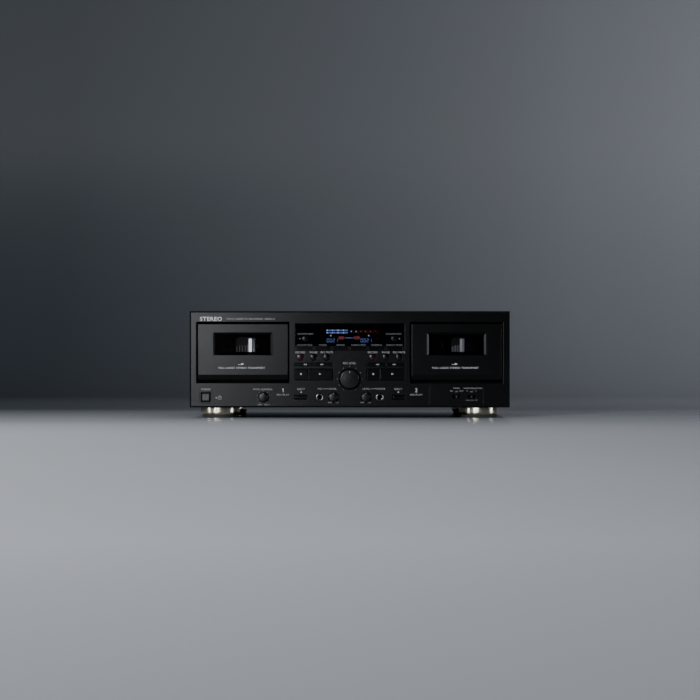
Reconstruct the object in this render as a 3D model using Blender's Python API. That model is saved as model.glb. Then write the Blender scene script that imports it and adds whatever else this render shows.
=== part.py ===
"""A twin cassette deck made as separate pieces: casing, doors, controls, two tape transports, electronics.

Metres, +Z up. The origin is on the floor under the middle of the deck, its front faces -Y, and +X is on
the right of someone facing it. Run it with: blender --background --python part.py
"""

import math

import bmesh
import bpy
from mathutils import Vector

MM = 0.001

# Driving sizes of the whole deck.
WIDTH, DEPTH, HEIGHT = 435 * MM, 286 * MM, 145 * MM
FOOT_HEIGHT = 14 * MM
KNOB_REACH = 13 * MM  # how far the record level knob stands out of the front
JACK_REACH = 9 * MM  # how far the line jacks stand out of the back
GAP = 0.3 * MM  # left between two pieces that rest on each other

FRONT = -DEPTH / 2 + KNOB_REACH  # the front panel's face
BACK = DEPTH / 2 - JACK_REACH  # the casing's rear edge

# Front panel: a moulded plate with a rim that runs back from it.
PLATE = 3 * MM
PANEL_DEPTH = 12 * MM
RIM = 2.5 * MM
PANEL_CHAMFER = 1.8 * MM
SHOULDER_GAP = 0.4 * MM  # from the plate back to a key's flange, so that the key can move in
PLATE_BACK = FRONT + PLATE
PANEL_BACK = FRONT + PANEL_DEPTH

# Sheet metal casing.
SHEET = 1.0 * MM
FLOOR_SHEET = 1.2 * MM
COVER_HALF = 216 * MM
COVER_TOP = HEIGHT - 0.6 * MM
BEND = 3 * MM
COVER_BOTTOM = 17 * MM
VENT_WIDTH, VENT_PITCH = 2.6 * MM, 8 * MM
FLOOR = FOOT_HEIGHT + GAP  # underside of the bottom chassis
FLOOR_TOP = FLOOR + FLOOR_SHEET
FLANGE_TOP = 30 * MM
REAR_PANEL = BACK - 2 * MM
REAR_SHEET = 1.2 * MM

# Feet: a tapered ring on a rubber base.
FOOT_X = 178 * MM
FOOT_RADIUS = 27 * MM
FOOT_BASE_RADIUS = 24.5 * MM
FOOT_BASE_HEIGHT = 3.8 * MM
FRONT_FOOT_Y = FRONT + 35 * MM
REAR_FOOT_Y = BACK - 30 * MM

# Cassette doors: each opening, the lid that fills it, and its window.
DECK_X = 145 * MM
OPENING_HALF = 63.3 * MM
OPENING_BOTTOM, OPENING_TOP = 47.3 * MM, 130.1 * MM
LID_HALF = 61.1 * MM
LID_BOTTOM, LID_TOP = 51.1 * MM, 127.6 * MM
LID_THICKNESS = 4.5 * MM
LID_PROUD = 1.0 * MM
LID_EDGE = 1.2 * MM
LID_BEVEL = 7.5 * MM
LID_FRONT = FRONT - LID_PROUD
LID_BACK = LID_FRONT + LID_THICKNESS
WINDOW_WIDTH = 80.4 * MM
WINDOW_BOTTOM, WINDOW_TOP = 85.1 * MM, 115.7 * MM
CLEAR_HALF = 37.4 * MM  # the window's opening behind its bevels
GLASS_WIDTH = 80 * MM
GLASS_BOTTOM, GLASS_TOP = 83.8 * MM, 114.8 * MM
GLASS = 1.8 * MM
HINGE_Y, HINGE_Z = FRONT + 13 * MM, 55 * MM
HINGE_PIN = 1.6 * MM

# The cassette, and what meets it: 102 x 64 x 12 mm, hubs 42.5 mm apart.
HUB_Z = 96.5 * MM
HUB_SPACING = 42.5 * MM
TAPE_EDGE = HUB_Z - 34.4 * MM
POCKET_HALF = 50.7 * MM
POCKET_TOP = 125 * MM
POCKET_BACK = FRONT + 16.5 * MM
HOLDER_WALL = 2.5 * MM
LIP = 1.5 * MM
LEDGE = 2.5 * MM

# Transport chassis.
WELL_BACK = FRONT + 19.5 * MM
WELL_HALF = 63.1 * MM
WELL_WALL = 1.4 * MM
WELL_MOUTH, WELL_TOP, WELL_FLOOR = FRONT + 4 * MM, 132.6 * MM, 38 * MM
CHASSIS_PLATE = 2 * MM
REAR_BRACKET = FRONT + 39 * MM
CAPSTAN_X, CAPSTAN_Z = 28.5 * MM, TAPE_EDGE + 6.5 * MM
CAPSTAN_RADIUS = 1.2 * MM
ROLLER_RADIUS = 5 * MM
FLYWHEEL_RADIUS = 19 * MM
AXLE_RADIUS = 1 * MM
BRIDGE_TRAVEL = 5.5 * MM
ROLLER_Z = CAPSTAN_Z - CAPSTAN_RADIUS - ROLLER_RADIUS - BRIDGE_TRAVEL - 0.2 * MM

# Display window and what is around it.
DISPLAY_HALF = 74.8 * MM
DISPLAY_BOTTOM, DISPLAY_TOP = 91.5 * MM, 128.4 * MM
DISPLAY_RECESS = 1.0 * MM
LENS_HALF, LENS_BOTTOM, LENS_TOP = 73.9 * MM, 97.2 * MM, 127.8 * MM
LENS_FIT = 0.3 * MM

# Controls. Each key stands in its hole with this clearance, and a flange behind the plate keeps it in.
KEY_FIT = 0.25 * MM
FLANGE = 1.2 * MM
CONTROL_Z = 28 * MM
FUNCTION_PITCH, FUNCTION_Z = 24.3 * MM, 94 * MM
COUNTER_X, COUNTER_Z = 60.5 * MM, 107.4 * MM
ROUND_Z, ROUND_PITCH = 82.6 * MM, 18 * MM
KEY_GROUP_X = 49.1 * MM
SHUTTLE_Z = 72.5 * MM
PLAY_Z = 58.9 * MM
EJECT_X = 66.5 * MM
LEVEL_Z = 52.8 * MM
PITCH_X = -117 * MM
SMALL_KNOB_X = 22 * MM
JACK_X = 40.8 * MM
POWER_X = -195.5 * MM
TIMER_X, NOISE_X, SWITCH_Z = 145 * MM, 165.5 * MM, 28.8 * MM
GROOVE_X = 107.8 * MM

# Holes and dishes for the controls. Caps are smaller than their holes by the clearance all round.
DISH_RADIUS, DISH_DEPTH = 14.4 * MM, 1.5 * MM
SMALL_DISH_RADIUS, SMALL_DISH_DEPTH = 7.2 * MM, 0.8 * MM
SHAFT_RADIUS, SHAFT_HOLE = 3 * MM, 3.5 * MM
ROUND_HOLE, COUNTER_HOLE, JACK_HOLE = 4.8 * MM, 4 * MM, 5.6 * MM
FUNCTION_HOLE = (22 * MM, 4.2 * MM)
SHUTTLE_HOLE, PLAY_HOLE = (51.8 * MM, 4.7 * MM), (52.4 * MM, 15.8 * MM)
EJECT_HOLE, SWITCH_HOLE = (17.4 * MM, 6.2 * MM), (10.6 * MM, 4.4 * MM)
POWER_BEZEL, POWER_POCKET, POWER_HOLE = 17 * MM, 13.4 * MM, 9.9 * MM
SWITCH_RECESS = (134 * MM, 181.4 * MM, 20.5 * MM, 43.5 * MM)
GROOVE = (GROOVE_X - 0.8 * MM, GROOVE_X + 0.8 * MM, 18 * MM, 45 * MM)

# Rear connectors.
LINE_JACK_X = (18 * MM, 36 * MM, 92 * MM, 110 * MM)
LINE_JACK_Z = (42 * MM, 56 * MM)
LINE_JACK_RADIUS = 4.15 * MM
LINE_SOCKET_RADIUS = 1.7 * MM
USB_X, USB_Z = 168 * MM, 34 * MM
INLET_X, INLET_Z = -180 * MM, 46 * MM


def finish(name, colour, roughness, metallic=0.0, alpha=1.0):
    """A plain Principled material."""
    made = bpy.data.materials.new(name)
    made.use_nodes = True
    shader = made.node_tree.nodes["Principled BSDF"]
    shader.inputs["Base Color"].default_value = (*colour, 1.0)
    shader.inputs["Roughness"].default_value = roughness
    shader.inputs["Metallic"].default_value = metallic
    shader.inputs["Alpha"].default_value = alpha
    return made


def rect(u, v, width, height):
    """The four corners of a rectangle centred on (u, v)."""
    a, b = width / 2, height / 2
    return [(u - a, v - b), (u + a, v - b), (u + a, v + b), (u - a, v + b)]


def span(u0, u1, v0, v1):
    """The four corners of a rectangle between two values each way."""
    return [(u0, v0), (u1, v0), (u1, v1), (u0, v1)]


def disc(u, v, radius, sides=20):
    """The corners of a regular polygon centred on (u, v)."""
    angles = [2 * math.pi * (i + 0.5) / sides for i in range(sides)]
    return [(u + radius * math.cos(a), v + radius * math.sin(a)) for a in angles]


def prism(bm, axis, *sections):
    """Adds a closed solid through outlines of equal length, each given with its place along the axis."""
    order = {"X": (2, 0, 1), "Y": (0, 2, 1), "Z": (0, 1, 2)}[axis]
    loops = []
    for outline, along in sections:
        points = [(u, v, along) for u, v in outline]
        loops.append([bm.verts.new([p[k] for k in order]) for p in points])
    for near, far in zip(loops, loops[1:]):
        for i in range(len(near)):
            j = (i + 1) % len(near)
            bm.faces.new((near[i], near[j], far[j], far[i]))
    bm.faces.new(reversed(loops[0]))
    bm.faces.new(loops[-1])
    return bm


def box(bm, low, high):
    """Adds a block between two corners."""
    return prism(bm, "Z", (span(low[0], high[0], low[1], high[1]), low[2]),
                 (span(low[0], high[0], low[1], high[1]), high[2]))


def blocks(*corners):
    """Separate blocks, each given by its low and high corner, in one new bmesh."""
    bm = bmesh.new()
    for low, high in corners:
        box(bm, low, high)
    return bm


def make(name, bm, material, origin=(0, 0, 0)):
    """An object from world-space shapes, with its own origin at the given point."""
    bmesh.ops.recalc_face_normals(bm, faces=bm.faces)
    bmesh.ops.translate(bm, verts=bm.verts, vec=-Vector(origin))
    mesh = bpy.data.meshes.new(name)
    bm.to_mesh(mesh)
    bm.free()
    mesh.shade_smooth()
    mesh.set_sharp_from_angle(angle=math.radians(30))
    if material:
        mesh.materials.append(material)
    obj = bpy.data.objects.new(name, mesh)
    obj.location = origin
    bpy.context.scene.collection.objects.link(obj)
    return obj


def boolean(obj, operation, *shapes):
    """Joins each shape to the object or cuts it away, with hidden helpers that stay in the scene."""
    for shape in shapes:
        helper = make(f"{obj.name}.{operation.lower()}{len(obj.modifiers)}", shape, None)
        helper.hide_render = True
        helper.display_type = "WIRE"
        modifier = obj.modifiers.new(helper.name, "BOOLEAN")
        modifier.operation = operation
        modifier.object = helper


def cut(obj, *shapes):
    boolean(obj, "DIFFERENCE", *shapes)


def join(obj, *shapes):
    boolean(obj, "UNION", *shapes)


def holes(outlines, near, far, axis="Y"):
    """Straight cutters through the given outlines."""
    bm = bmesh.new()
    for outline in outlines:
        prism(bm, axis, (outline, near), (outline, far))
    return bm


# ---------------------------------------------------------------- casing


def function_key_x():
    """Places of the six keys in the row under the display."""
    return [(i - 2.5) * FUNCTION_PITCH for i in range(6)]


def round_button_x(side):
    """Places of the record, pause and mute buttons, left to right, of the deck on that side."""
    return [side * KEY_GROUP_X + (i - 1) * ROUND_PITCH for i in range(3)]


def small_knob_x():
    """Places of the pitch, microphone level and headphone level knobs."""
    return [PITCH_X, -SMALL_KNOB_X, SMALL_KNOB_X]


def front_panel(material):
    """The moulded front: a plate with a rim, both door openings, the display recess and the holes."""
    half, inset = WIDTH / 2, PANEL_CHAMFER
    outer = span(-half, half, FOOT_HEIGHT, HEIGHT)
    face = span(-half + inset, half - inset, FOOT_HEIGHT + inset, HEIGHT - inset)
    bm = prism(bmesh.new(), "Y", (face, FRONT), (outer, FRONT + inset), (outer, PANEL_BACK))
    panel = make("front_panel", bm, material)
    hollow = span(-half + RIM, half - RIM, FOOT_HEIGHT + RIM, HEIGHT - RIM)
    before, behind = FRONT - 5 * MM, PANEL_BACK + 5 * MM
    cut(panel, holes([hollow], PLATE_BACK, behind))

    doors = [
        span(x - OPENING_HALF, x + OPENING_HALF, OPENING_BOTTOM, OPENING_TOP)
        for x in (-DECK_X, DECK_X)
    ]
    lens = span(-LENS_HALF - LENS_FIT, LENS_HALF + LENS_FIT, LENS_BOTTOM - LENS_FIT, LENS_TOP + LENS_FIT)
    recesses = bmesh.new()
    for outline, deep in (
        (span(-DISPLAY_HALF, DISPLAY_HALF, DISPLAY_BOTTOM, DISPLAY_TOP), DISPLAY_RECESS),
        (disc(0, LEVEL_Z, DISH_RADIUS, 40), DISH_DEPTH),
        *((disc(x, CONTROL_Z, SMALL_DISH_RADIUS), SMALL_DISH_DEPTH) for x in small_knob_x()),
        (rect(POWER_X, CONTROL_Z, POWER_BEZEL, POWER_BEZEL), 0.5 * MM),
        (span(*SWITCH_RECESS), 0.6 * MM),
        (span(*GROOVE), 0.6 * MM),
    ):
        prism(recesses, "Y", (outline, before), (outline, FRONT + deep))
    power_pocket = holes([rect(POWER_X, CONTROL_Z, POWER_POCKET, POWER_POCKET)], before, FRONT + 2 * MM)
    cut(panel, holes(doors, before, behind), recesses, power_pocket)

    through = [lens]
    through += [rect(x, FUNCTION_Z, *FUNCTION_HOLE) for x in function_key_x()]
    through += [disc(x, CONTROL_Z, SHAFT_HOLE, 16) for x in small_knob_x()]
    through += [rect(x, SWITCH_Z, *SWITCH_HOLE) for x in (TIMER_X, NOISE_X)]
    for side in (-1, 1):
        through += [disc(x, ROUND_Z, ROUND_HOLE) for x in round_button_x(side)]
        through += [rect(side * KEY_GROUP_X, SHUTTLE_Z, *SHUTTLE_HOLE)]
        through += [rect(side * KEY_GROUP_X, PLAY_Z, *PLAY_HOLE)]
        through += [rect(side * EJECT_X, CONTROL_Z, *EJECT_HOLE)]
        through += [disc(side * JACK_X, CONTROL_Z, JACK_HOLE)]
    through += [disc(0, LEVEL_Z, SHAFT_HOLE, 16), rect(POWER_X, CONTROL_Z, POWER_HOLE, POWER_HOLE)]
    cut(panel, holes(through, before, behind))
    return panel


def arc(u, v, radius, start, steps=4):
    """A quarter turn of points round (u, v), anticlockwise from the start angle in degrees."""
    angles = [math.radians(start + 90 * i / steps) for i in range(steps + 1)]
    return [(u + radius * math.cos(a), v + radius * math.sin(a)) for a in angles]


def top_cover(material):
    """A folded sheet over the top and both sides, with vent slots."""
    inside, above = COVER_HALF - BEND, COVER_TOP - BEND
    outer = [(COVER_HALF, COVER_BOTTOM), *arc(inside, above, BEND, 0), *arc(-inside, above, BEND, 90)]
    outer += [(-COVER_HALF, COVER_BOTTOM), (-COVER_HALF + SHEET, COVER_BOTTOM)]
    inner = [*arc(inside, above, BEND - SHEET, 0), *arc(-inside, above, BEND - SHEET, 90)]
    outline = outer + inner[::-1] + [(COVER_HALF - SHEET, COVER_BOTTOM)]
    sections = ((outline, PANEL_BACK + GAP), (outline, BACK))
    cover = make("top_cover", prism(bmesh.new(), "Y", *sections), material)

    top_slots = [
        rect(x + (i - 5.5) * VENT_PITCH, 70 * MM, VENT_WIDTH, 26 * MM)
        for x in (-145 * MM, 120 * MM)
        for i in range(12)
    ]
    side_slots = [rect(20 * MM + i * VENT_PITCH, 112 * MM, VENT_WIDTH, 22 * MM) for i in range(10)]
    cut(cover, holes(top_slots, COVER_TOP - 6 * MM, COVER_TOP + 6 * MM, "Z"),
        holes(side_slots, -COVER_HALF - 6 * MM, -COVER_HALF + 6 * MM, "X"),
        holes(side_slots, COVER_HALF - 6 * MM, COVER_HALF + 6 * MM, "X"))
    return cover


def bottom_chassis(material):
    """A tray with a flange along each side, and slots under the transformer."""
    half = COVER_HALF - SHEET - 0.6 * MM
    inner = half - FLOOR_SHEET
    outline = [(-half, FLOOR), (half, FLOOR), (half, FLANGE_TOP), (inner, FLANGE_TOP), (inner, FLOOR_TOP)]
    outline += [(-inner, FLOOR_TOP), (-inner, FLANGE_TOP), (-half, FLANGE_TOP)]
    sections = ((outline, PANEL_BACK + GAP), (outline, REAR_PANEL - GAP))
    chassis = make("bottom_chassis", prism(bmesh.new(), "Y", *sections), material)
    slots = [rect(-140 * MM + i * VENT_PITCH, 58 * MM, VENT_WIDTH, 30 * MM) for i in range(8)]
    cut(chassis, holes(slots, FLOOR - 3 * MM, FLOOR_TOP + 3 * MM, "Z"))
    return chassis


def rear_panel(material):
    """A plate with a foot lip, pierced for the line jacks, the USB port and the power inlet."""
    half, bottom, top = 212.8 * MM, FLOOR_TOP + GAP, COVER_TOP - SHEET - 0.6 * MM
    y0, y1 = REAR_PANEL, REAR_PANEL + REAR_SHEET
    lip_y, lip_z = y0 - 9 * MM, bottom + FLOOR_SHEET
    outline = [(y1, bottom), (y1, top), (y0, top), (y0, lip_z), (lip_y, lip_z), (lip_y, bottom)]
    panel = make("rear_panel", prism(bmesh.new(), "X", (outline, -half), (outline, half)), material)
    pierced = [disc(x, z, LINE_JACK_RADIUS + 0.8 * MM, 16) for x in LINE_JACK_X for z in LINE_JACK_Z]
    pierced += [rect(USB_X, USB_Z, 12.8 * MM, 11.8 * MM), rect(INLET_X, INLET_Z, 21 * MM, 14 * MM)]
    cut(panel, holes(pierced, y0 - 3 * MM, y1 + 3 * MM))
    return panel


def foot(name, x, y, material):
    """A round foot: a rubber base under a tapered ring."""
    sections = [
        (FOOT_BASE_RADIUS - 0.6 * MM, 0),
        (FOOT_BASE_RADIUS, 0.6 * MM),
        (FOOT_BASE_RADIUS, FOOT_BASE_HEIGHT),
        (FOOT_RADIUS - 1.2 * MM, FOOT_BASE_HEIGHT),
        (FOOT_RADIUS, FOOT_HEIGHT - 2 * MM),
        (FOOT_RADIUS - 0.6 * MM, FOOT_HEIGHT),
    ]
    bm = prism(bmesh.new(), "Z", *((disc(x, y, radius, 32), z) for radius, z in sections))
    return make(name, bm, material, (x, y, 0))


def display_window(material):
    """The display's dark lens, with a hole for each counter reset button."""
    y0 = FRONT + DISPLAY_RECESS - LENS_FIT
    outline = span(-LENS_HALF, LENS_HALF, LENS_BOTTOM, LENS_TOP)
    bm = prism(bmesh.new(), "Y", (outline, y0), (outline, y0 + 2 * MM))
    lens = make("display_window", bm, material)
    pierced = [disc(x, COUNTER_Z, COUNTER_HOLE) for x in (-COUNTER_X, COUNTER_X)]
    cut(lens, holes(pierced, y0 - 2 * MM, y0 + 4 * MM))
    return lens


# ---------------------------------------------------------------- controls


def key(name, x, z, width, height, proud, material, edge=0.5 * MM):
    """A rectangular key: a cap through the plate, with a taller flange behind it."""
    face, cap = rect(x, z, width - 2 * edge, height - 2 * edge), rect(x, z, width, height)
    flange = rect(x, z, width, height + 2 * FLANGE)
    shoulder = PLATE_BACK + SHOULDER_GAP
    bm = prism(bmesh.new(), "Y", (face, FRONT - proud), (cap, FRONT - proud + edge), (cap, shoulder),
               (flange, shoulder), (flange, shoulder + 1.5 * MM))
    return make(name, bm, material, (x, FRONT - proud, z))


def round_button(name, x, z, radius, proud, material, flange=FLANGE):
    """A round push button with a domed face and a flange behind the plate."""
    shoulder = PLATE_BACK + SHOULDER_GAP
    sections = [
        (0.45 * radius, FRONT - proud),
        (0.85 * radius, FRONT - proud + 0.35 * MM),
        (radius, FRONT - proud + 0.9 * MM),
        (radius, shoulder),
        (radius + flange, shoulder),
        (radius + flange, shoulder + 1.5 * MM),
    ]
    bm = prism(bmesh.new(), "Y", *((disc(x, z, r), y) for r, y in sections))
    return make(name, bm, material, (x, FRONT - proud, z))


def knob(name, x, z, radius, reach, recess, sides, material):
    """A turned knob on its own shaft, which runs back through the panel."""
    back = FRONT + recess - 0.6 * MM
    sections = [
        (radius - 1 * MM, FRONT - reach),
        (radius, FRONT - reach + 1 * MM),
        (radius + 0.2 * MM, back),
        (SHAFT_RADIUS, back),
        (SHAFT_RADIUS, PLATE_BACK + 7 * MM),
    ]
    bm = prism(bmesh.new(), "Y", *((disc(x, z, r, sides), y) for r, y in sections))
    return make(name, bm, material, (x, FRONT, z))


def slide_lever(name, x, material):
    """A slide switch's lever: a small cap in the slot on a wider slider behind it."""
    y0, y1, y2 = FRONT - 1.2 * MM, PLATE_BACK + SHOULDER_GAP, PLATE_BACK + 2 * MM
    cap, slider = rect(x, SWITCH_Z, 3.4 * MM, 3.8 * MM), rect(x, SWITCH_Z, 5 * MM, 6.4 * MM)
    bm = prism(bmesh.new(), "Y", (cap, y0), (cap, y1), (slider, y1), (slider, y2))
    return make(name, bm, material, (x, y0, SWITCH_Z))


def controls(black, red):
    """Every key, button, knob and lever on the front."""
    for number, side in ((1, -1), (2, 1)):
        centre = side * KEY_GROUP_X
        for x, what in zip(round_button_x(side), ("record", "pause", "rec_mute")):
            tint = red if what == "record" else black
            round_button(f"{what}_button_{number}", x, ROUND_Z, ROUND_HOLE - KEY_FIT, 1.6 * MM, tint)
        for step, what in ((-1, "rewind"), (1, "fast_forward")):
            key(f"{what}_button_{number}", centre + step * 12.9 * MM, SHUTTLE_Z, 25.3 * MM, 4.2 * MM,
                0.8 * MM, black)
        key(f"stop_button_{number}", centre - 17.1 * MM, PLAY_Z, 17.5 * MM, 15 * MM, 1.2 * MM, black)
        key(f"play_button_{number}", centre + 9.1 * MM, PLAY_Z, 33.5 * MM, 15 * MM, 1.2 * MM, black)
        key(f"eject_button_{number}", side * EJECT_X, CONTROL_Z, 16.2 * MM, 5 * MM, 1.4 * MM, black)
        round_button(f"counter_reset_button_{number}", side * COUNTER_X, COUNTER_Z,
                     COUNTER_HOLE - KEY_FIT, 0.2 * MM, black, flange=0.8 * MM)
    for number, x in enumerate(function_key_x(), start=1):
        key(f"function_button_{number}", x, FUNCTION_Z, 21.5 * MM, 3.7 * MM, -0.4 * MM, black, 0.3 * MM)
    key("power_button", POWER_X, CONTROL_Z, 9.4 * MM, 9.4 * MM, 1 * MM, black)
    knob("rec_level_knob", 0, LEVEL_Z, 13 * MM, KNOB_REACH, DISH_DEPTH, 40, black)
    for x, name in zip(small_knob_x(), ("pitch_knob", "mic_level_knob", "phones_level_knob")):
        knob(name, x, CONTROL_Z, 6.2 * MM, 9 * MM, SMALL_DISH_DEPTH, 24, black)
    slide_lever("timer_switch", TIMER_X, black)
    slide_lever("noise_reduction_switch", NOISE_X, black)


# ---------------------------------------------------------------- cassette doors


def door_profile(inset):
    """The lid's section across its width: a flat face, an edge at the top and a long bevel at the bottom."""
    face = LID_FRONT + inset
    return [
        (LID_BACK, LID_BOTTOM),
        (LID_BACK, LID_TOP),
        (LID_FRONT + LID_EDGE, LID_TOP),
        (face, LID_TOP - LID_EDGE),
        (face, LID_BOTTOM + LID_BEVEL),
        (LID_BACK - 1.5 * MM, LID_BOTTOM),
    ]


def door(name, centre, material):
    """The lid and the holder moulded behind it: an arm, a rear lip and a ledge at each end of the tape."""
    edge, face = door_profile(LID_EDGE), door_profile(0)
    left, right = centre - LID_HALF, centre + LID_HALF
    sections = [(edge, left), (face, left + LID_EDGE), (face, right - LID_EDGE), (edge, right)]
    lid = make(name, prism(bmesh.new(), "X", *sections), material, (centre, HINGE_Y, HINGE_Z))

    middle = (WINDOW_BOTTOM + WINDOW_TOP) / 2
    outer = rect(centre, middle, WINDOW_WIDTH, WINDOW_TOP - WINDOW_BOTTOM)
    inner = span(centre - CLEAR_HALF, centre + CLEAR_HALF, WINDOW_BOTTOM + 1 * MM, WINDOW_TOP - 3 * MM)
    window = prism(bmesh.new(), "Y", (outer, LID_FRONT - 0.5 * MM), (inner, LID_FRONT + 2 * MM),
                   (inner, LID_BACK + 1 * MM))
    glass_middle = (GLASS_BOTTOM + GLASS_TOP) / 2
    rebate = rect(centre, glass_middle, GLASS_WIDTH + 2 * GAP, GLASS_TOP - GLASS_BOTTOM + 2 * GAP)
    cut(lid, window, holes([rebate], LID_BACK - GLASS - 0.5 * MM, LID_BACK + 1 * MM))

    rear = POCKET_BACK + LIP
    arms, lips, ledges, pins = bmesh.new(), bmesh.new(), bmesh.new(), bmesh.new()
    for side in (-1, 1):
        def across(near, far):
            return sorted((centre + side * near, centre + side * far))

        x0, x1 = across(POCKET_HALF, POCKET_HALF + HOLDER_WALL)
        box(arms, (x0, LID_BACK - 1 * MM, HINGE_Z - 2 * MM), (x1, rear, POCKET_TOP))
        x0, x1 = across(POCKET_HALF - 4.2 * MM, POCKET_HALF + 1 * MM)
        box(lips, (x0, POCKET_BACK, TAPE_EDGE), (x1, rear - 0.1 * MM, POCKET_TOP - 1 * MM))
        x0, x1 = across(40 * MM, POCKET_HALF + 1.2 * MM)
        ledge = TAPE_EDGE - GAP
        box(ledges, (x0, LID_BACK - 0.8 * MM, ledge - LEDGE), (x1, rear - 0.2 * MM, ledge))
        x0, x1 = across(POCKET_HALF + 1 * MM, POCKET_HALF + 6.4 * MM)
        pin = disc(HINGE_Y, HINGE_Z, HINGE_PIN, 16)
        prism(pins, "X", (pin, x0), (pin, x1))
    join(lid, arms, lips, ledges, pins)
    return lid


def door_window(name, centre, material):
    """The clear window that sits in the lid's rebate."""
    outline = span(centre - GLASS_WIDTH / 2, centre + GLASS_WIDTH / 2, GLASS_BOTTOM, GLASS_TOP)
    y1 = LID_BACK - 0.2 * MM
    bm = prism(bmesh.new(), "Y", (outline, y1 - GLASS), (outline, y1))
    return make(name, bm, material, (centre, HINGE_Y, HINGE_Z))


# ---------------------------------------------------------------- tape transport


def transport_chassis(name, centre, material):
    """The open-fronted well behind a door, the door's hinge ears, and the bracket behind the flywheel."""
    half, top, mouth = WELL_HALF, WELL_TOP, WELL_MOUTH
    plate_back, joined = WELL_BACK + CHASSIS_PLATE, WELL_BACK + 1 * MM
    plate = blocks(((centre - half, WELL_BACK, FLOOR_TOP + GAP), (centre + half, plate_back, top)))
    chassis = make(name, plate, material)

    inside = half - WELL_WALL
    walls = blocks(
        ((centre - half, mouth, WELL_FLOOR), (centre - inside, joined, top)),
        ((centre + inside, mouth, WELL_FLOOR), (centre + half, joined, top)),
    )
    width = half - 0.5 * MM
    lids = blocks(
        ((centre - width, mouth, top - WELL_WALL), (centre + width, joined, top)),
        ((centre - width, mouth, WELL_FLOOR), (centre + width, joined, WELL_FLOOR + 2 * MM)),
    )
    ears, pivots = bmesh.new(), bmesh.new()
    for side in (-1, 1):
        x0, x1 = sorted((centre + side * 54 * MM, centre + side * 56.6 * MM))
        radius = 5.5 * MM
        nose = [
            (HINGE_Y + radius * math.cos(math.radians(a)), HINGE_Z + radius * math.sin(math.radians(a)))
            for a in range(90, 271, 30)
        ]
        ear = nose + [(joined, HINGE_Z - radius), (joined, HINGE_Z + radius)]
        prism(ears, "X", (ear, x0), (ear, x1))
        pivot = disc(HINGE_Y, HINGE_Z, HINGE_PIN + 0.25 * MM, 16)
        prism(pivots, "X", (pivot, x0 - 1 * MM), (pivot, x1 + 1 * MM))
    pillars = bmesh.new()
    for x in (-42 * MM, 52 * MM):
        for z in (50 * MM, 118 * MM):
            pillar = disc(centre + x, z, 3 * MM, 10)
            prism(pillars, "Y", (pillar, plate_back - 1 * MM), (pillar, REAR_BRACKET + 1 * MM))
    bracket = blocks(((centre - 48 * MM, REAR_BRACKET, 44 * MM),
                      (centre + 58 * MM, REAR_BRACKET + 1.6 * MM, 124 * MM)))
    join(chassis, walls, lids, ears, pillars, bracket)
    bores = [disc(centre + side * HUB_SPACING / 2, HUB_Z, 2.4 * MM, 16) for side in (-1, 1)]
    bores.append(disc(centre + CAPSTAN_X, CAPSTAN_Z, CAPSTAN_RADIUS + 0.3 * MM, 16))
    cut(chassis, pivots, holes(bores, WELL_BACK - 2 * MM, plate_back + 2 * MM))
    return chassis


def splined(u, v, inner, outer, teeth=6, tooth_angle=12):
    """A round outline with square teeth, as on the spindle that drives a cassette's hub."""
    points = []
    for i in range(teeth):
        middle = 360 * i / teeth + 90
        for turn, radius in ((-1, inner), (-1, outer), (1, outer), (1, inner)):
            angle = math.radians(middle + turn * tooth_angle)
            points.append((u + radius * math.cos(angle), v + radius * math.sin(angle)))
    return points


def reel_hub(name, x, material):
    """A reel table with its splined spindle in front and its stub axle behind."""
    table_back = WELL_BACK - 0.5 * MM
    sections = [
        (1.2, 1.6, FRONT + 9 * MM),
        (2.6, 3.9, FRONT + 10.5 * MM),
        (3.2, 4.5, FRONT + 12 * MM),
        (3.2, 4.5, table_back - 1.8 * MM),
        (9.5, 9.5, table_back - 1.8 * MM),
        (9.5, 9.5, table_back),
        (2.0, 2.0, table_back),
        (2.0, 2.0, FRONT + 26 * MM),
    ]
    outlines = ((splined(x, HUB_Z, inner * MM, outer * MM), y) for inner, outer, y in sections)
    bm = prism(bmesh.new(), "Y", *outlines)
    return make(name, bm, material, (x, WELL_BACK, HUB_Z))


def capstan_flywheel(name, x, material):
    """The capstan shaft, which reaches into the well, with its heavy flywheel behind the plate."""
    sides, wheel = 32, FLYWHEEL_RADIUS
    sections = [
        (CAPSTAN_RADIUS - 0.3 * MM, FRONT + 5.5 * MM),
        (CAPSTAN_RADIUS, FRONT + 6 * MM),
        (CAPSTAN_RADIUS, FRONT + 26 * MM),
        (wheel - 1 * MM, FRONT + 26 * MM),
        (wheel, FRONT + 27 * MM),
        (wheel, FRONT + 32 * MM),
        (wheel - 1 * MM, FRONT + 33 * MM),
        (CAPSTAN_RADIUS, FRONT + 33 * MM),
        (CAPSTAN_RADIUS, REAR_BRACKET - 1 * MM),
    ]
    bm = prism(bmesh.new(), "Y", *((disc(x, CAPSTAN_Z, radius, sides), y) for radius, y in sections))
    return make(name, bm, material, (x, WELL_BACK, CAPSTAN_Z))


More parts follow.
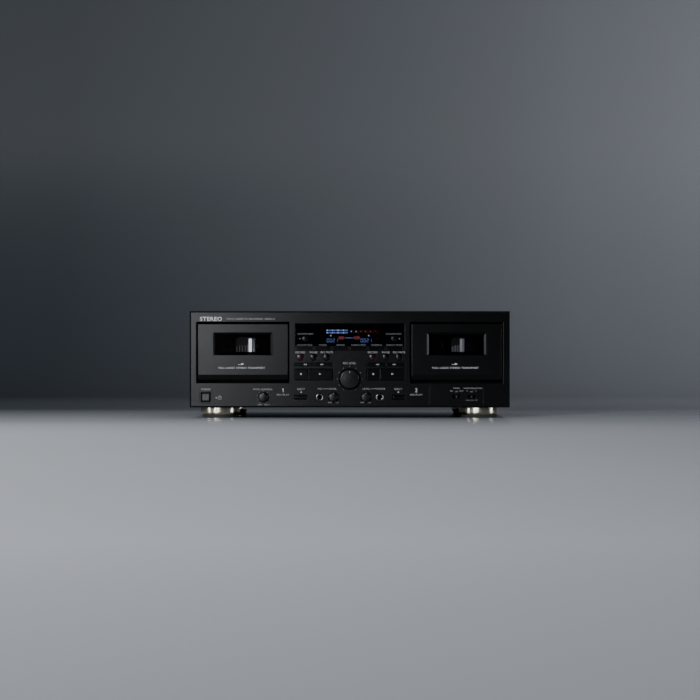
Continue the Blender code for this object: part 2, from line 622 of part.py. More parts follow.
def head_bridge(name, centre, material):
    """The sliding plate that lifts both heads and the pinch roller's axle into the cassette."""
    slide_back = WELL_BACK - 0.4 * MM
    slide_front = slide_back - 1.4 * MM
    sunk, roller_x = 49.5 * MM, centre + CAPSTAN_X
    plate = blocks(((centre - 36 * MM, slide_front, 44 * MM), (centre + 36 * MM, slide_back, 60 * MM)))
    bridge = make(name, plate, material, (centre, WELL_BACK, 44 * MM))
    shelf = blocks(((centre - 35 * MM, FRONT + 8.5 * MM, 48 * MM),
                    (centre + 35 * MM, slide_front + 0.7 * MM, 50.4 * MM)))
    heads = blocks(
        ((centre - 5.75 * MM, FRONT + 5.8 * MM, sunk),
         (centre + 5.75 * MM, FRONT + 14.5 * MM, 60 * MM)),
        ((centre - 19.5 * MM, FRONT + 6.2 * MM, sunk),
         (centre - 12.5 * MM, FRONT + 14.3 * MM, 59.4 * MM)),
        ((roller_x - 3 * MM, FRONT + 13.4 * MM, sunk),
         (roller_x + 3 * MM, slide_front + 0.6 * MM, 59.2 * MM)),
    )
    axle = holes([disc(roller_x, ROLLER_Z, AXLE_RADIUS, 16)], FRONT + 5.8 * MM, FRONT + 14.2 * MM)
    join(bridge, shelf, heads, axle)
    return bridge


def pinch_roller(name, x, material):
    """A rubber roller with a plain bore, turning on the bridge's axle."""
    y0, y1 = FRONT + 6.4 * MM, FRONT + 13 * MM
    sections = [(ROLLER_RADIUS - 0.3 * MM, y0), (ROLLER_RADIUS, y0 + 0.3 * MM), (ROLLER_RADIUS, y1)]
    bm = prism(bmesh.new(), "Y", *((disc(x, ROLLER_Z, radius, 24), y) for radius, y in sections))
    roller = make(name, bm, material, (x, y0, ROLLER_Z))
    cut(roller, holes([disc(x, ROLLER_Z, AXLE_RADIUS + 0.15 * MM, 16)], y0 - 2 * MM, y1 + 2 * MM))
    return roller


def deck(number, side, moulding, glass, metal, rubber):
    """One door with its window, and the transport behind it."""
    centre = side * DECK_X
    door(f"cassette_door_{number}", centre, moulding)
    door_window(f"door_window_{number}", centre, glass)
    transport_chassis(f"transport_chassis_{number}", centre, moulding)
    reel_hub(f"supply_hub_{number}", centre - HUB_SPACING / 2, moulding)
    reel_hub(f"takeup_hub_{number}", centre + HUB_SPACING / 2, moulding)
    capstan_flywheel(f"capstan_flywheel_{number}", centre + CAPSTAN_X, metal)
    head_bridge(f"head_bridge_{number}", centre, metal)
    pinch_roller(f"pinch_roller_{number}", centre + CAPSTAN_X, rubber)


# ---------------------------------------------------------------- electronics


def front_jack_board(material):
    """A board with the microphone and headphone sockets and the two level controls' housings on it."""
    y0, y1 = PLATE_BACK + 0.6 * MM, FRONT + 32 * MM
    base, deck_z = FLOOR_TOP + 2.2 * MM, FLOOR_TOP + 3.8 * MM
    card = blocks(((-52 * MM, y0 + 1 * MM, base), (52 * MM, y1, deck_z)))
    board = make("front_jack_board", card, material)
    sunk = deck_z - 1 * MM
    housings, noses, bores = bmesh.new(), bmesh.new(), bmesh.new()
    for side in (-1, 1):
        jack, pot = side * JACK_X, side * SMALL_KNOB_X
        box(housings, (jack - 8 * MM, y0, sunk), (jack + 8 * MM, y1 - 2 * MM, CONTROL_Z + 8 * MM))
        box(housings, (pot - 6 * MM, y0 + 2 * MM, sunk),
            (pot + 6 * MM, y0 + 11 * MM, CONTROL_Z + 7 * MM))
        nose = disc(jack, CONTROL_Z, 5.3 * MM, 20)
        prism(noses, "Y", (nose, FRONT - 1 * MM), (nose, y0 + 2 * MM))
        bore = disc(jack, CONTROL_Z, 3.25 * MM, 16)
        prism(bores, "Y", (bore, FRONT - 4 * MM), (bore, y1 - 5 * MM))
        shaft_hole = disc(pot, CONTROL_Z, 3.4 * MM, 16)
        prism(bores, "Y", (shaft_hole, y0), (shaft_hole, y0 + 13 * MM))
    join(board, housings, noses)
    cut(board, bores)
    return board


def main_board(material):
    """The main circuit board with its tall parts, and the line jacks and USB port along its rear edge."""
    base = FLOOR_TOP + 6 * MM
    top = base + 1.6 * MM
    rear = REAR_PANEL - 0.6 * MM
    card = blocks(((-60 * MM, -20 * MM, base), (200 * MM, rear - 0.5 * MM, top)))
    board = make("main_board", card, material)
    sunk = top - 0.8 * MM
    parts = blocks(
        *(((x - 8 * MM, rear - 13 * MM, sunk), (x + 26 * MM, rear, 65 * MM)) for x in LINE_JACK_X[::2]),
        ((USB_X - 6 * MM, rear - 15 * MM, sunk), (USB_X + 6 * MM, rear, USB_Z + 5.5 * MM)),
        ((-50 * MM, 40 * MM, sunk), (-42 * MM, 100 * MM, 58 * MM)),
        ((150 * MM, -10 * MM, sunk), (190 * MM, 0, 34 * MM)),
        ((60 * MM, 30 * MM, sunk), (84 * MM, 54 * MM, top + 3 * MM)),
    )
    for x, y, radius, height in ((-20, 60, 9, 32), (2, 60, 9, 32), (-20, 90, 6.5, 22), (130, 60, 5, 14)):
        can = disc(x * MM, y * MM, radius * MM, 16)
        prism(parts, "Z", (can, sunk), (can, top + height * MM))
    shell = blocks(((USB_X - 5.9 * MM, rear - 1 * MM, USB_Z - 5.4 * MM),
                    (USB_X + 5.9 * MM, BACK + 0.4 * MM, USB_Z + 5.4 * MM)))
    barrels, centres = bmesh.new(), bmesh.new()
    for x in LINE_JACK_X:
        for z in LINE_JACK_Z:
            barrel, socket = disc(x, z, LINE_JACK_RADIUS, 16), disc(x, z, LINE_SOCKET_RADIUS, 10)
            prism(barrels, "Y", (barrel, rear - 2 * MM), (barrel, DEPTH / 2))
            prism(centres, "Y", (socket, DEPTH / 2 - 8 * MM), (socket, DEPTH / 2 + 2 * MM))
    join(board, parts, shell, barrels)
    port = holes([rect(USB_X, USB_Z, 8.6 * MM, 7.8 * MM)], BACK - 7 * MM, BACK + 3 * MM)
    cut(board, centres, port)
    return board


def power_transformer(material):
    """A laminated core standing on its mounting strap, with the winding bulging from both faces."""
    x, y, base = -165 * MM, 60 * MM, FLOOR_TOP + GAP
    strap = blocks(((x - 34 * MM, y - 12 * MM, base), (x + 34 * MM, y + 12 * MM, base + 1.6 * MM)))
    transformer = make("power_transformer", strap, material)
    core = blocks(((x - 24 * MM, y - 15 * MM, base + 0.6 * MM),
                   (x + 24 * MM, y + 15 * MM, base + 42 * MM)))
    winding = blocks(((x - 15 * MM, y - 25 * MM, base + 8 * MM),
                      (x + 15 * MM, y + 25 * MM, base + 34 * MM)))
    join(transformer, core, winding)
    screws = [disc(x + side * 29 * MM, y, 2.1 * MM, 12) for side in (-1, 1)]
    cut(transformer, holes(screws, base - 2 * MM, base + 4 * MM, "Z"))
    return transformer


def ac_inlet(material):
    """The two-pin power inlet, set through the rear panel from outside."""
    face = REAR_PANEL + REAR_SHEET + GAP
    flange = rect(INLET_X, INLET_Z, 26 * MM, 19 * MM)
    body = rect(INLET_X, INLET_Z, 20.4 * MM, 13.4 * MM)
    bm = prism(bmesh.new(), "Y", (body, REAR_PANEL - 16 * MM), (body, face), (flange, face),
               (flange, face + 1.8 * MM))
    inlet = make("ac_inlet", bm, material)
    cut(inlet, holes([rect(INLET_X, INLET_Z, 15 * MM, 9 * MM)], REAR_PANEL - 11 * MM, face + 4 * MM))
    pins = [disc(INLET_X + side * 4.8 * MM, INLET_Z, 1.2 * MM, 10) for side in (-1, 1)]
    join(inlet, holes(pins, REAR_PANEL - 12.5 * MM, face - 2 * MM))
    return inlet


def build():
    moulding = finish("satin_black_plastic", (0.018, 0.018, 0.020), 0.42)
    painted = finish("painted_steel", (0.02, 0.02, 0.022), 0.5, 0.3)
    plated = finish("zinc_plated_steel", (0.55, 0.55, 0.53), 0.35, 1.0)
    champagne = finish("champagne_plating", (0.62, 0.56, 0.44), 0.22, 1.0)
    lens = finish("smoked_lens", (0.004, 0.004, 0.006), 0.06, 0.0, 0.4)
    red = finish("dark_red_plastic", (0.08, 0.012, 0.012), 0.35)
    rubber = finish("black_rubber", (0.015, 0.015, 0.015), 0.85)
    board = finish("green_circuit_board", (0.03, 0.09, 0.04), 0.5)

    front_panel(moulding)
    top_cover(painted)
    bottom_chassis(plated)
    rear_panel(painted)
    for name, x, y in (
        ("front_foot_left", -FOOT_X, FRONT_FOOT_Y),
        ("front_foot_right", FOOT_X, FRONT_FOOT_Y),
        ("rear_foot_left", -FOOT_X, REAR_FOOT_Y),
        ("rear_foot_right", FOOT_X, REAR_FOOT_Y),
    ):
        foot(name, x, y, champagne)
    display_window(lens)
    controls(moulding, red)
    for number, side in ((1, -1), (2, 1)):
        deck(number, side, moulding, lens, plated, rubber)
    front_jack_board(board)
    main_board(board)
    power_transformer(plated)
    ac_inlet(moulding)


for old in list(bpy.data.objects):
    bpy.data.objects.remove(old)
build()
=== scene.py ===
"""The looks of the twin cassette deck: bevelled shells, printed legends, glass, plating and a soft studio."""

import math

import bmesh
import bpy
from mathutils import Matrix, Vector


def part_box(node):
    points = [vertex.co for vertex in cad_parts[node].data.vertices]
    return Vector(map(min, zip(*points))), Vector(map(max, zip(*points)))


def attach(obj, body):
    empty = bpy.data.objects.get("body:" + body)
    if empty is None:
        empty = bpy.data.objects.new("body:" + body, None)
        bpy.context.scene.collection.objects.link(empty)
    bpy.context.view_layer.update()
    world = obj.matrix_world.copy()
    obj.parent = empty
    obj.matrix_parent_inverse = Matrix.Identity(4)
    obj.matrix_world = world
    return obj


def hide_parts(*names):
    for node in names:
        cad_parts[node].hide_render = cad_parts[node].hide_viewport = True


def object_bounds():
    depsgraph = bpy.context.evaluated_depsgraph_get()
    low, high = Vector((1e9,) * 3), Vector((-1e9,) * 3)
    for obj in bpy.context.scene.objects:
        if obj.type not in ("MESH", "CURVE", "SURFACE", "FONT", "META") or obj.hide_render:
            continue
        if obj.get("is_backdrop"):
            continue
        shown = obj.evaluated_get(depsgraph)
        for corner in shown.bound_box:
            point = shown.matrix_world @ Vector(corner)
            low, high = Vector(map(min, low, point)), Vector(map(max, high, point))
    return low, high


MM = 0.001  # shapes are drawn in millimetres, and to_object turns them into metres
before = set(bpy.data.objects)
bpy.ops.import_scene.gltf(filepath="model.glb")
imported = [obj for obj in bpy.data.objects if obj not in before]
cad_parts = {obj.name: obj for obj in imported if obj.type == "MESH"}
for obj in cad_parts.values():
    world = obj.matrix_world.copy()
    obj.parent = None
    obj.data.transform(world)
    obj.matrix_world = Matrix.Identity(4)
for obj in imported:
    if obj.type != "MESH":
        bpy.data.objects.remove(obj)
CAD_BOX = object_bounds()

# ---------------------------------------------------------------- sizes, from the frame


def box(node):
    """A node's lowest and highest corners, in millimetres."""
    return [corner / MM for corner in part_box(node)]


PANEL_LOW, PANEL_HIGH = box("front_panel")
FRONT = PANEL_LOW.y
PLATE = 3
PLATE_BACK = FRONT + PLATE
KEY_FLANGE = 1.2
INK = 0.05
SIDES = (("1", -1), ("2", 1))
FUNCTION_KEYS = [f"function_button_{i}" for i in range(1, 7)]
ROUND_BUTTONS = ("record", "pause", "rec_mute")
SMALL_KNOBS = ("pitch_knob", "mic_level_knob", "phones_level_knob")
LINE_JACK_X = (18, 36, 92, 110)
LINE_JACK_Z = (42, 56)
JACK_X = 40.8
GROOVE_X = 107.8


def middle(node):
    low, high = box(node)
    return (low + high) / 2


CONTROL_Z = middle("power_button").z
LEVEL = middle("rec_level_knob")

# ---------------------------------------------------------------- outlines


def rect(u, v, width, height, radius=0.0, steps=5):
    """An outline that can be drawn smaller by an inset, or larger by a negative one."""

    def outline(inset=0.0):
        a, b = width / 2 - inset, height / 2 - inset
        r = min(max(radius - inset, 0.02), a, b)
        points = []
        for quarter, (su, sv) in enumerate(((1, 1), (-1, 1), (-1, -1), (1, -1))):
            for i in range(steps + 1):
                t = math.pi / 2 * (quarter + i / steps)
                points.append((u + su * (a - r) + r * math.cos(t), v + sv * (b - r) + r * math.sin(t)))
        return points

    return outline


def span(u0, u1, v0, v1, radius=0.0, steps=5):
    return rect((u0 + u1) / 2, (v0 + v1) / 2, u1 - u0, v1 - v0, radius, steps)


def disc(u, v, radius, sides=48):
    """The same for a circle."""

    def outline(inset=0.0):
        r = radius - inset
        return [
            (u + r * math.cos(2 * math.pi * i / sides), v + r * math.sin(2 * math.pi * i / sides))
            for i in range(sides)
        ]

    return outline


def fluted(u, v, radius, depth, flutes, sides=6):
    """A circle with shallow rounded grooves round it."""
    count = flutes * sides

    def outline(inset=0.0):
        points = []
        for i in range(count):
            t = 2 * math.pi * i / count
            r = radius - inset - depth * (0.5 - 0.5 * math.cos(flutes * t))
            points.append((u + r * math.cos(t), v + r * math.sin(t)))
        return points

    return outline


# ---------------------------------------------------------------- solids


AXES = {"X": (2, 0, 1), "Y": (0, 2, 1), "Z": (0, 1, 2)}  # where x, y and z are in (u, v, along)


def loft(bm, axis, sections, paint=0):
    """A closed solid through outlines of equal length, each with its place along the axis."""
    loops = []
    for outline, along in sections:
        loops.append([bm.verts.new([(u, v, along)[k] for k in AXES[axis]]) for u, v in outline])
    faces = []
    for near, far in zip(loops, loops[1:]):
        for i in range(len(near)):
            j = (i + 1) % len(near)
            faces.append(bm.faces.new((near[i], near[j], far[j], far[i])))
    faces.append(bm.faces.new(reversed(loops[0])))
    faces.append(bm.faces.new(loops[-1]))
    for face in faces:
        face.material_index = paint
    bmesh.ops.recalc_face_normals(bm, faces=faces)
    return bm


def solid(axis, sections):
    return loft(bmesh.new(), axis, sections)


def prism(bm, axis, outline, start, end):
    return loft(bm, axis, [(outline(), start), (outline(), end)])


def rounded(outline, start, edge, end, steps=4):
    """A solid's sections, with a rounded edge at its start. A negative edge makes a cutter that flares."""
    size, way = abs(edge), 1 if end > start else -1
    turns = [math.pi / 2 * i / steps for i in range(steps + 1)]
    sections = [(outline(edge * (1 - math.sin(t))), start + way * size * (1 - math.cos(t))) for t in turns]
    if edge < 0:
        sections.insert(0, (outline(edge), start - way))
    return sections + [(outline(0), end)]


def block(bm, low, high, paint=0, radius=0.0):
    """A block between two corners, its upright edges rounded if asked."""
    outline = span(low[0], high[0], low[1], high[1], radius, 3) if radius else None
    flat = [(low[0], low[1]), (high[0], low[1]), (high[0], high[1]), (low[0], high[1])]
    shape = outline(0) if outline else flat
    return loft(bm, "Z", [(shape, low[2]), (shape, high[2])], paint)


def turned(bm, axis, u, v, profile, sides=48, paint=0):
    """A solid of revolution from (radius, place along the axis) pairs."""
    return loft(bm, axis, [(disc(u, v, r, sides)(), along) for r, along in profile], paint)


def hoop(bm, u, v, profile, sides=64, paint=0, axis="Y"):
    """A ring: a closed profile of (radius, place along the axis) pairs, turned all the way round."""
    rings = []
    for i in range(sides):
        t = 2 * math.pi * i / sides
        points = [(u + r * math.cos(t), v + r * math.sin(t), along) for r, along in profile]
        rings.append([bm.verts.new([p[k] for k in AXES[axis]]) for p in points])
    faces = []
    for i, ring in enumerate(rings):
        after = rings[(i + 1) % sides]
        for a in range(len(profile)):
            b = (a + 1) % len(profile)
            faces.append(bm.faces.new((ring[a], ring[b], after[b], after[a])))
    for face in faces:
        face.material_index = paint
    bmesh.ops.recalc_face_normals(bm, faces=faces)
    return bm


def to_object(name, bm):
    mesh = bpy.data.meshes.new(name)
    bm.to_mesh(mesh)
    bm.free()
    mesh.transform(Matrix.Scale(MM, 4))
    obj = bpy.data.objects.new(name, mesh)
    bpy.context.scene.collection.objects.link(obj)
    return obj


def applied(obj):
    """Turns an object's modifiers into its mesh."""
    bpy.context.view_layer.update()
    evaluated = obj.evaluated_get(bpy.context.evaluated_depsgraph_get())
    mesh = bpy.data.meshes.new_from_object(evaluated)
    obj.modifiers.clear()
    obj.data = mesh
    return obj


def carved(obj, *cutters, operation="DIFFERENCE", use_self=False):
    """Cuts each shape from the object, or joins it."""
    helpers = []
    for shape in cutters:
        helper = to_object("helper", shape)
        modifier = obj.modifiers.new("carve", "BOOLEAN")
        modifier.operation, modifier.use_self = operation, use_self
        modifier.object = helper
        helpers.append(helper)
    applied(obj)
    for helper in helpers:
        bpy.data.objects.remove(helper)
    return obj


def keep_flat(mesh, large=40 * MM * MM, turn=math.radians(4)):
    """Makes the edges round each large flat face sharp, so that its shading stays flat up to its lip."""
    bm = bmesh.new()
    bm.from_mesh(mesh)
    areas = {face: face.calc_area() for face in bm.faces}
    for edge in bm.edges:
        if len(edge.link_faces) != 2 or edge.calc_face_angle(0) < turn:
            continue
        small, big = sorted(areas[face] for face in edge.link_faces)
        if big > large and small < 0.3 * big:
            edge.smooth = False
    bm.to_mesh(mesh)
    bm.free()


def piece(obj, materials, body="deck", replaces=(), angle=32, weighted=True):
    """Finishes a piece: its materials, smooth shading, and the body that it moves with.

    One that replaces nodes hides them.
    """
    while len(obj.data.materials) < len(materials):
        obj.data.materials.append(None)
    for index, material in enumerate(materials):
        obj.data.materials[index] = material
    obj.data.shade_smooth()
    obj.data.set_sharp_from_angle(angle=math.radians(angle))
    keep_flat(obj.data)
    if weighted:
        modifier = obj.modifiers.new("flat_faces", "WEIGHTED_NORMAL")
        modifier.keep_sharp = True
    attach(obj, body)
    if replaces:
        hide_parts(*replaces)
    return obj


# ---------------------------------------------------------------- printing


def lettered_height():
    """The built-in face's capital height at size 1."""
    curve = bpy.data.curves.new("H", "FONT")
    curve.body = "H"
    obj = bpy.data.objects.new("H", curve)
    mesh = bpy.data.meshes.new_from_object(obj)
    tall = max(v.co.y for v in mesh.vertices) - min(v.co.y for v in mesh.vertices)
    bpy.data.objects.remove(obj)
    return tall


CAPITAL = lettered_height()


def words(bm, text, x, z, height, y, width=None, bold=0.0, paint=0, rear=False):
    """Raised printing centred on (x, z), with capitals of that height, stretched to any width given."""
    curve = bpy.data.curves.new("words", "FONT")
    curve.body = text
    curve.size = height / CAPITAL
    curve.space_character = 1.08
    curve.resolution_u = 3
    curve.extrude = INK / 2
    curve.offset = bold
    obj = bpy.data.objects.new("words", curve)
    mesh = bpy.data.meshes.new_from_object(obj)
    low = min(v.co.x for v in mesh.vertices)
    high = max(v.co.x for v in mesh.vertices)
    stretch = width / (high - low) if width else 1.0
    place = Matrix.Translation((x, y, z)) @ Matrix.Rotation(math.pi if rear else 0, 4, "Z")
    place = place @ Matrix.Rotation(math.pi / 2, 4, "X") @ Matrix.Diagonal((stretch, 1, 1, 1))
    mesh.transform(place @ Matrix.Translation((-(low + high) / 2, -height / 2, 0)))
    before = len(bm.faces)
    bm.from_mesh(mesh)
    bm.faces.ensure_lookup_table()
    for face in bm.faces[before:]:
        face.material_index = paint
    bpy.data.objects.remove(obj)
    bpy.data.meshes.remove(mesh)
    return bm


def mark(bm, points, y, paint=0):
    """A printed shape on a face that looks along -Y."""
    return loft(bm, "Y", [(points, y - INK / 2), (points, y + INK / 2)], paint)


def triangle(x, z, width, height, turn=0):
    """A triangle that points right, turned by that many degrees."""
    corners = [(-width / 2, -height / 2), (width / 2, 0), (-width / 2, height / 2)]
    c, s = math.cos(math.radians(turn)), math.sin(math.radians(turn))
    return [(x + c * a - s * b, z + s * a + c * b) for a, b in corners]


def square(x, z, width, height):
    return [(x - width / 2, z - height / 2), (x + width / 2, z - height / 2),
            (x + width / 2, z + height / 2), (x - width / 2, z + height / 2)]


# ---------------------------------------------------------------- materials


class Look:
    """A Principled material with its nodes to hand."""

    def __init__(self, name, colour, roughness, metallic=0.0):
        self.material = bpy.data.materials.new(name)
        self.material.use_nodes = True
        self.tree = self.material.node_tree
        self.shader = self.tree.nodes["Principled BSDF"]
        self.colour, self.roughness = colour, roughness
        self.set("Base Color", (*colour, 1.0))
        self.set("Roughness", roughness)
        self.set("Metallic", metallic)
        self.place = self.tree.nodes.new("ShaderNodeTexCoord").outputs["Object"]

    def set(self, socket, value):
        self.shader.inputs[socket].default_value = value
        return self

    def link(self, output, socket):
        self.tree.links.new(output, self.shader.inputs[socket])

    def add(self, kind, **inputs):
        """A node with these inputs, each a number, a tuple or another node's output."""
        node = self.tree.nodes.new(kind)
        for name, value in inputs.items():
            socket = node.inputs[name.replace("_", " ")]
            if isinstance(value, bpy.types.NodeSocket):
                self.tree.links.new(value, socket)
            else:
                socket.default_value = value
        return node

    def stretched(self, scale):
        return self.add("ShaderNodeMapping", Vector=self.place, Scale=scale).outputs["Vector"]

    def noise(self, scale, detail=3.0, vector=None):
        place = vector or self.place
        return self.add("ShaderNodeTexNoise", Vector=place, Scale=scale, Detail=detail).outputs["Fac"]

    def ranged(self, value, low, high, start=0.3, end=0.7):
        node = self.add("ShaderNodeMapRange", Value=value)
        for name, number in (("From Min", start), ("From Max", end), ("To Min", low), ("To Max", high)):
            node.inputs[name].default_value = number
        return node.outputs["Result"]

    def mixed(self, factor, a, b, blend="MIX"):
        node = self.tree.nodes.new("ShaderNodeMix")
        node.data_type, node.blend_type = "RGBA", blend
        for index, value in ((0, factor), (6, a), (7, b)):
            socket = node.inputs[index]
            if isinstance(value, bpy.types.NodeSocket):
                self.tree.links.new(value, socket)
            else:
                socket.default_value = value if index == 0 else (*value, 1.0)
        return node.outputs[2]

    def product(self, a, b):
        node = self.tree.nodes.new("ShaderNodeMath")
        node.operation = "MULTIPLY"
        for socket, value in zip(node.inputs, (a, b)):
            self.tree.links.new(value, socket)
        return node.outputs["Value"]

    def bump(self, height, distance, strength=1.0):
        node = self.add("ShaderNodeBump", Height=height, Distance=distance, Strength=strength)
        self.link(node.outputs["Normal"], "Normal")
        return self

    def mottled(self, scale=30.0, spread=0.12, roughness_spread=0.05):
        """Slow changes of tone and gloss over the surface, as handling and moulding leave."""
        cloud = self.noise(scale)
        low = tuple(c * (1 - spread) for c in self.colour)
        high = tuple(min(c * (1 + spread), 1.0) for c in self.colour)
        tone = self.mixed(self.ranged(cloud, 0.0, 1.0), low, high)
        self.link(tone, "Base Color")
        gloss = self.ranged(self.noise(scale * 3.1, 5.0), self.roughness - roughness_spread,
                            self.roughness + roughness_spread)
        self.link(gloss, "Roughness")
        return tone


def grained(name, colour, roughness, cloud, grain, depth, metallic=0.0, **sockets):
    """A finish with slow changes of tone and gloss, and a grain given by its noise and its depth."""
    look = Look(name, colour, roughness, metallic)
    for socket, value in sockets.items():
        look.set(socket.replace("_", " "), value)
    look.mottled(*cloud)
    return look.bump(look.noise(*grain), depth * MM).material


def moulded(name, colour, roughness, grain=2600.0, depth=0.008, specular=0.3, spread=0.010):
    """A fine-textured plastic moulding."""
    cloud = (9.0, 0.14, spread)
    return grained(name, colour, roughness, cloud, (grain, 2.0), depth, Specular_IOR_Level=specular)


def ink(name, colour):
    """Screen-printed ink, slightly uneven in cover."""
    return grained(name, colour, 0.55, (900.0, 0.10, 0.04), (6000.0, 2.0), 0.004)


def glowing(name, colour, strength, roughness=0.5, cloud=(1400.0, 0.2, 0.05), grain=5000.0, depth=0.01):
    """A display segment with a fine phosphor grain."""
    shine = {"Emission_Color": (*colour, 1.0), "Emission_Strength": strength}
    return grained(name, colour, roughness, cloud, (grain, 2.0), depth, **shine)


def painted_glow(name, colour, strength):
    """Plastic with a painted glow: emission in place of the light that falls on it."""
    return glowing(name, colour, strength, 0.4, (160.0, 0.15, 0.05), 1500.0, 0.02)


def bright_metal(name, colour, roughness):
    """Plated or polished metal with slight tarnish and hairlines."""
    return grained(name, colour, roughness, (120.0, 0.10, 0.05), (4000.0, 3.0), 0.003, 1.0)


def smoked(name, tint, ior):
    """Smoked acrylic: clear through, polished, with the faintest waviness and hairline scuffs."""
    clear = {"Transmission_Weight": 1.0, "IOR": ior}
    return grained(name, tint, 0.03, (12.0, 0.08, 0.012), (60.0, 2.0), 0.01, **clear)


def powder_coat():
    """Textured black paint on sheet steel."""
    look = Look("black_painted_steel", (0.020, 0.020, 0.022), 0.46)
    look.mottled(18.0, 0.15, 0.06)
    cells = look.add("ShaderNodeTexVoronoi", Vector=look.place, Scale=1500.0).outputs["Distance"]
    return look.bump(cells, 0.035 * MM, 0.7).material


def zinc():
    """Zinc-plated sheet with faint spangle and rolling lines, toned darker than bright zinc as painted shade,
    so that less light bounces onto the floor under the deck.
    """
    look = Look("zinc_plate", (0.30, 0.30, 0.29), 0.42, 1.0)
    spangle = look.add("ShaderNodeTexVoronoi", Vector=look.place, Scale=140.0).outputs["Color"]
    tone = look.mixed(0.12, look.mottled(60.0, 0.10, 0.08), spangle, "SOFT_LIGHT")
    look.link(tone, "Base Color")
    lines = look.noise(900.0, 4.0, look.stretched((1.0, 0.02, 1.0)))
    return look.bump(lines, 0.006 * MM).material


def champagne():
    """Champagne plating on a turned ring: fine lathe lines run round it."""
    look = Look("champagne_plating", (0.60, 0.55, 0.42), 0.19, 1.0)
    look.mottled(70.0, 0.06, 0.04)
    lines = look.noise(5200.0, 3.0, look.stretched((0.02, 0.02, 1.0)))
    look.set("Coat Weight", 0.3).set("Coat Roughness", 0.08)
    return look.bump(lines, 0.004 * MM).material


PANEL_BLACK = moulded("satin_black_panel", (0.0009, 0.0009, 0.0010), 0.21)
KEY_BLACK = moulded("black_key_plastic", (0.0016, 0.0016, 0.0019), 0.15, 3600.0, 0.004, 0.24)
KEY_GREY = moulded("grey_key_plastic", (0.050, 0.050, 0.054), 0.34, 3600.0, 0.006)
KEY_RED = moulded("dark_red_plastic", (0.014, 0.0010, 0.002), 0.16, 3600.0, 0.004)
KNOB_BLACK = moulded("knob_plastic", (0.003, 0.003, 0.0034), 0.24, 3200.0, 0.006)
BEVEL_BLACK = moulded("gloss_black_bevel", (0.0012, 0.0012, 0.0014), 0.20, 3600.0, 0.002, 0.12)
MATT_BLACK = moulded("matt_black_lining", (0.0016, 0.0016, 0.0017), 0.7, 1800.0, 0.02, 0.08)
INSIDE_BLACK = moulded("mechanism_plastic", (0.006, 0.006, 0.0065), 0.5, 1800.0, 0.02, 0.2)
WHITE_PLASTIC = moulded("white_plastic", (0.62, 0.62, 0.58), 0.35, 2600.0, 0.006, 0.5)
RED_PLASTIC = moulded("red_plastic", (0.42, 0.016, 0.016), 0.35, 2600.0, 0.006, 0.5)
SLEEVE = moulded("capacitor_sleeve", (0.012, 0.016, 0.05), 0.3, 900.0, 0.01, 0.5)
POWDER = powder_coat()
ZINC = zinc()
CHAMPAGNE = champagne()
NICKEL = bright_metal("nickel_plate", (0.62, 0.61, 0.58), 0.09)
# A darker copy of the nickel plate for the socket collars: painted shade, standing in for their dimmer
# reflections.
COLLAR = bright_metal("shaded_nickel", (0.20, 0.20, 0.20), 0.12)
STEEL = bright_metal("ground_steel", (0.55, 0.55, 0.55), 0.24)
ALUMINIUM = bright_metal("aluminium", (0.72, 0.72, 0.73), 0.3)
RUBBER = grained("black_rubber", (0.016, 0.016, 0.016), 0.8, (90.0, 0.25, 0.08), (1800.0, 4.0), 0.05)
LENS = smoked("smoked_lens", (0.16, 0.16, 0.19), 1.4)
GLASS = smoked("clear_door_lens", (0.38, 0.38, 0.42), 1.03)
CIRCUIT = moulded("circuit_board", (0.02, 0.09, 0.04), 0.35, 500.0, 0.03, 0.5)
BLACKENED = bright_metal("blackened_steel", (0.05, 0.05, 0.052), 0.45)
BLACK_SCREW = bright_metal("black_screw", (0.05, 0.05, 0.052), 0.35)
WHITE_INK = ink("white_ink", (0.34, 0.34, 0.355))
BRIGHT_INK = ink("bright_white_ink", (0.62, 0.62, 0.64))
LENS_INK = ink("grey_ink", (0.17, 0.17, 0.18))

# ---------------------------------------------------------------- front panel


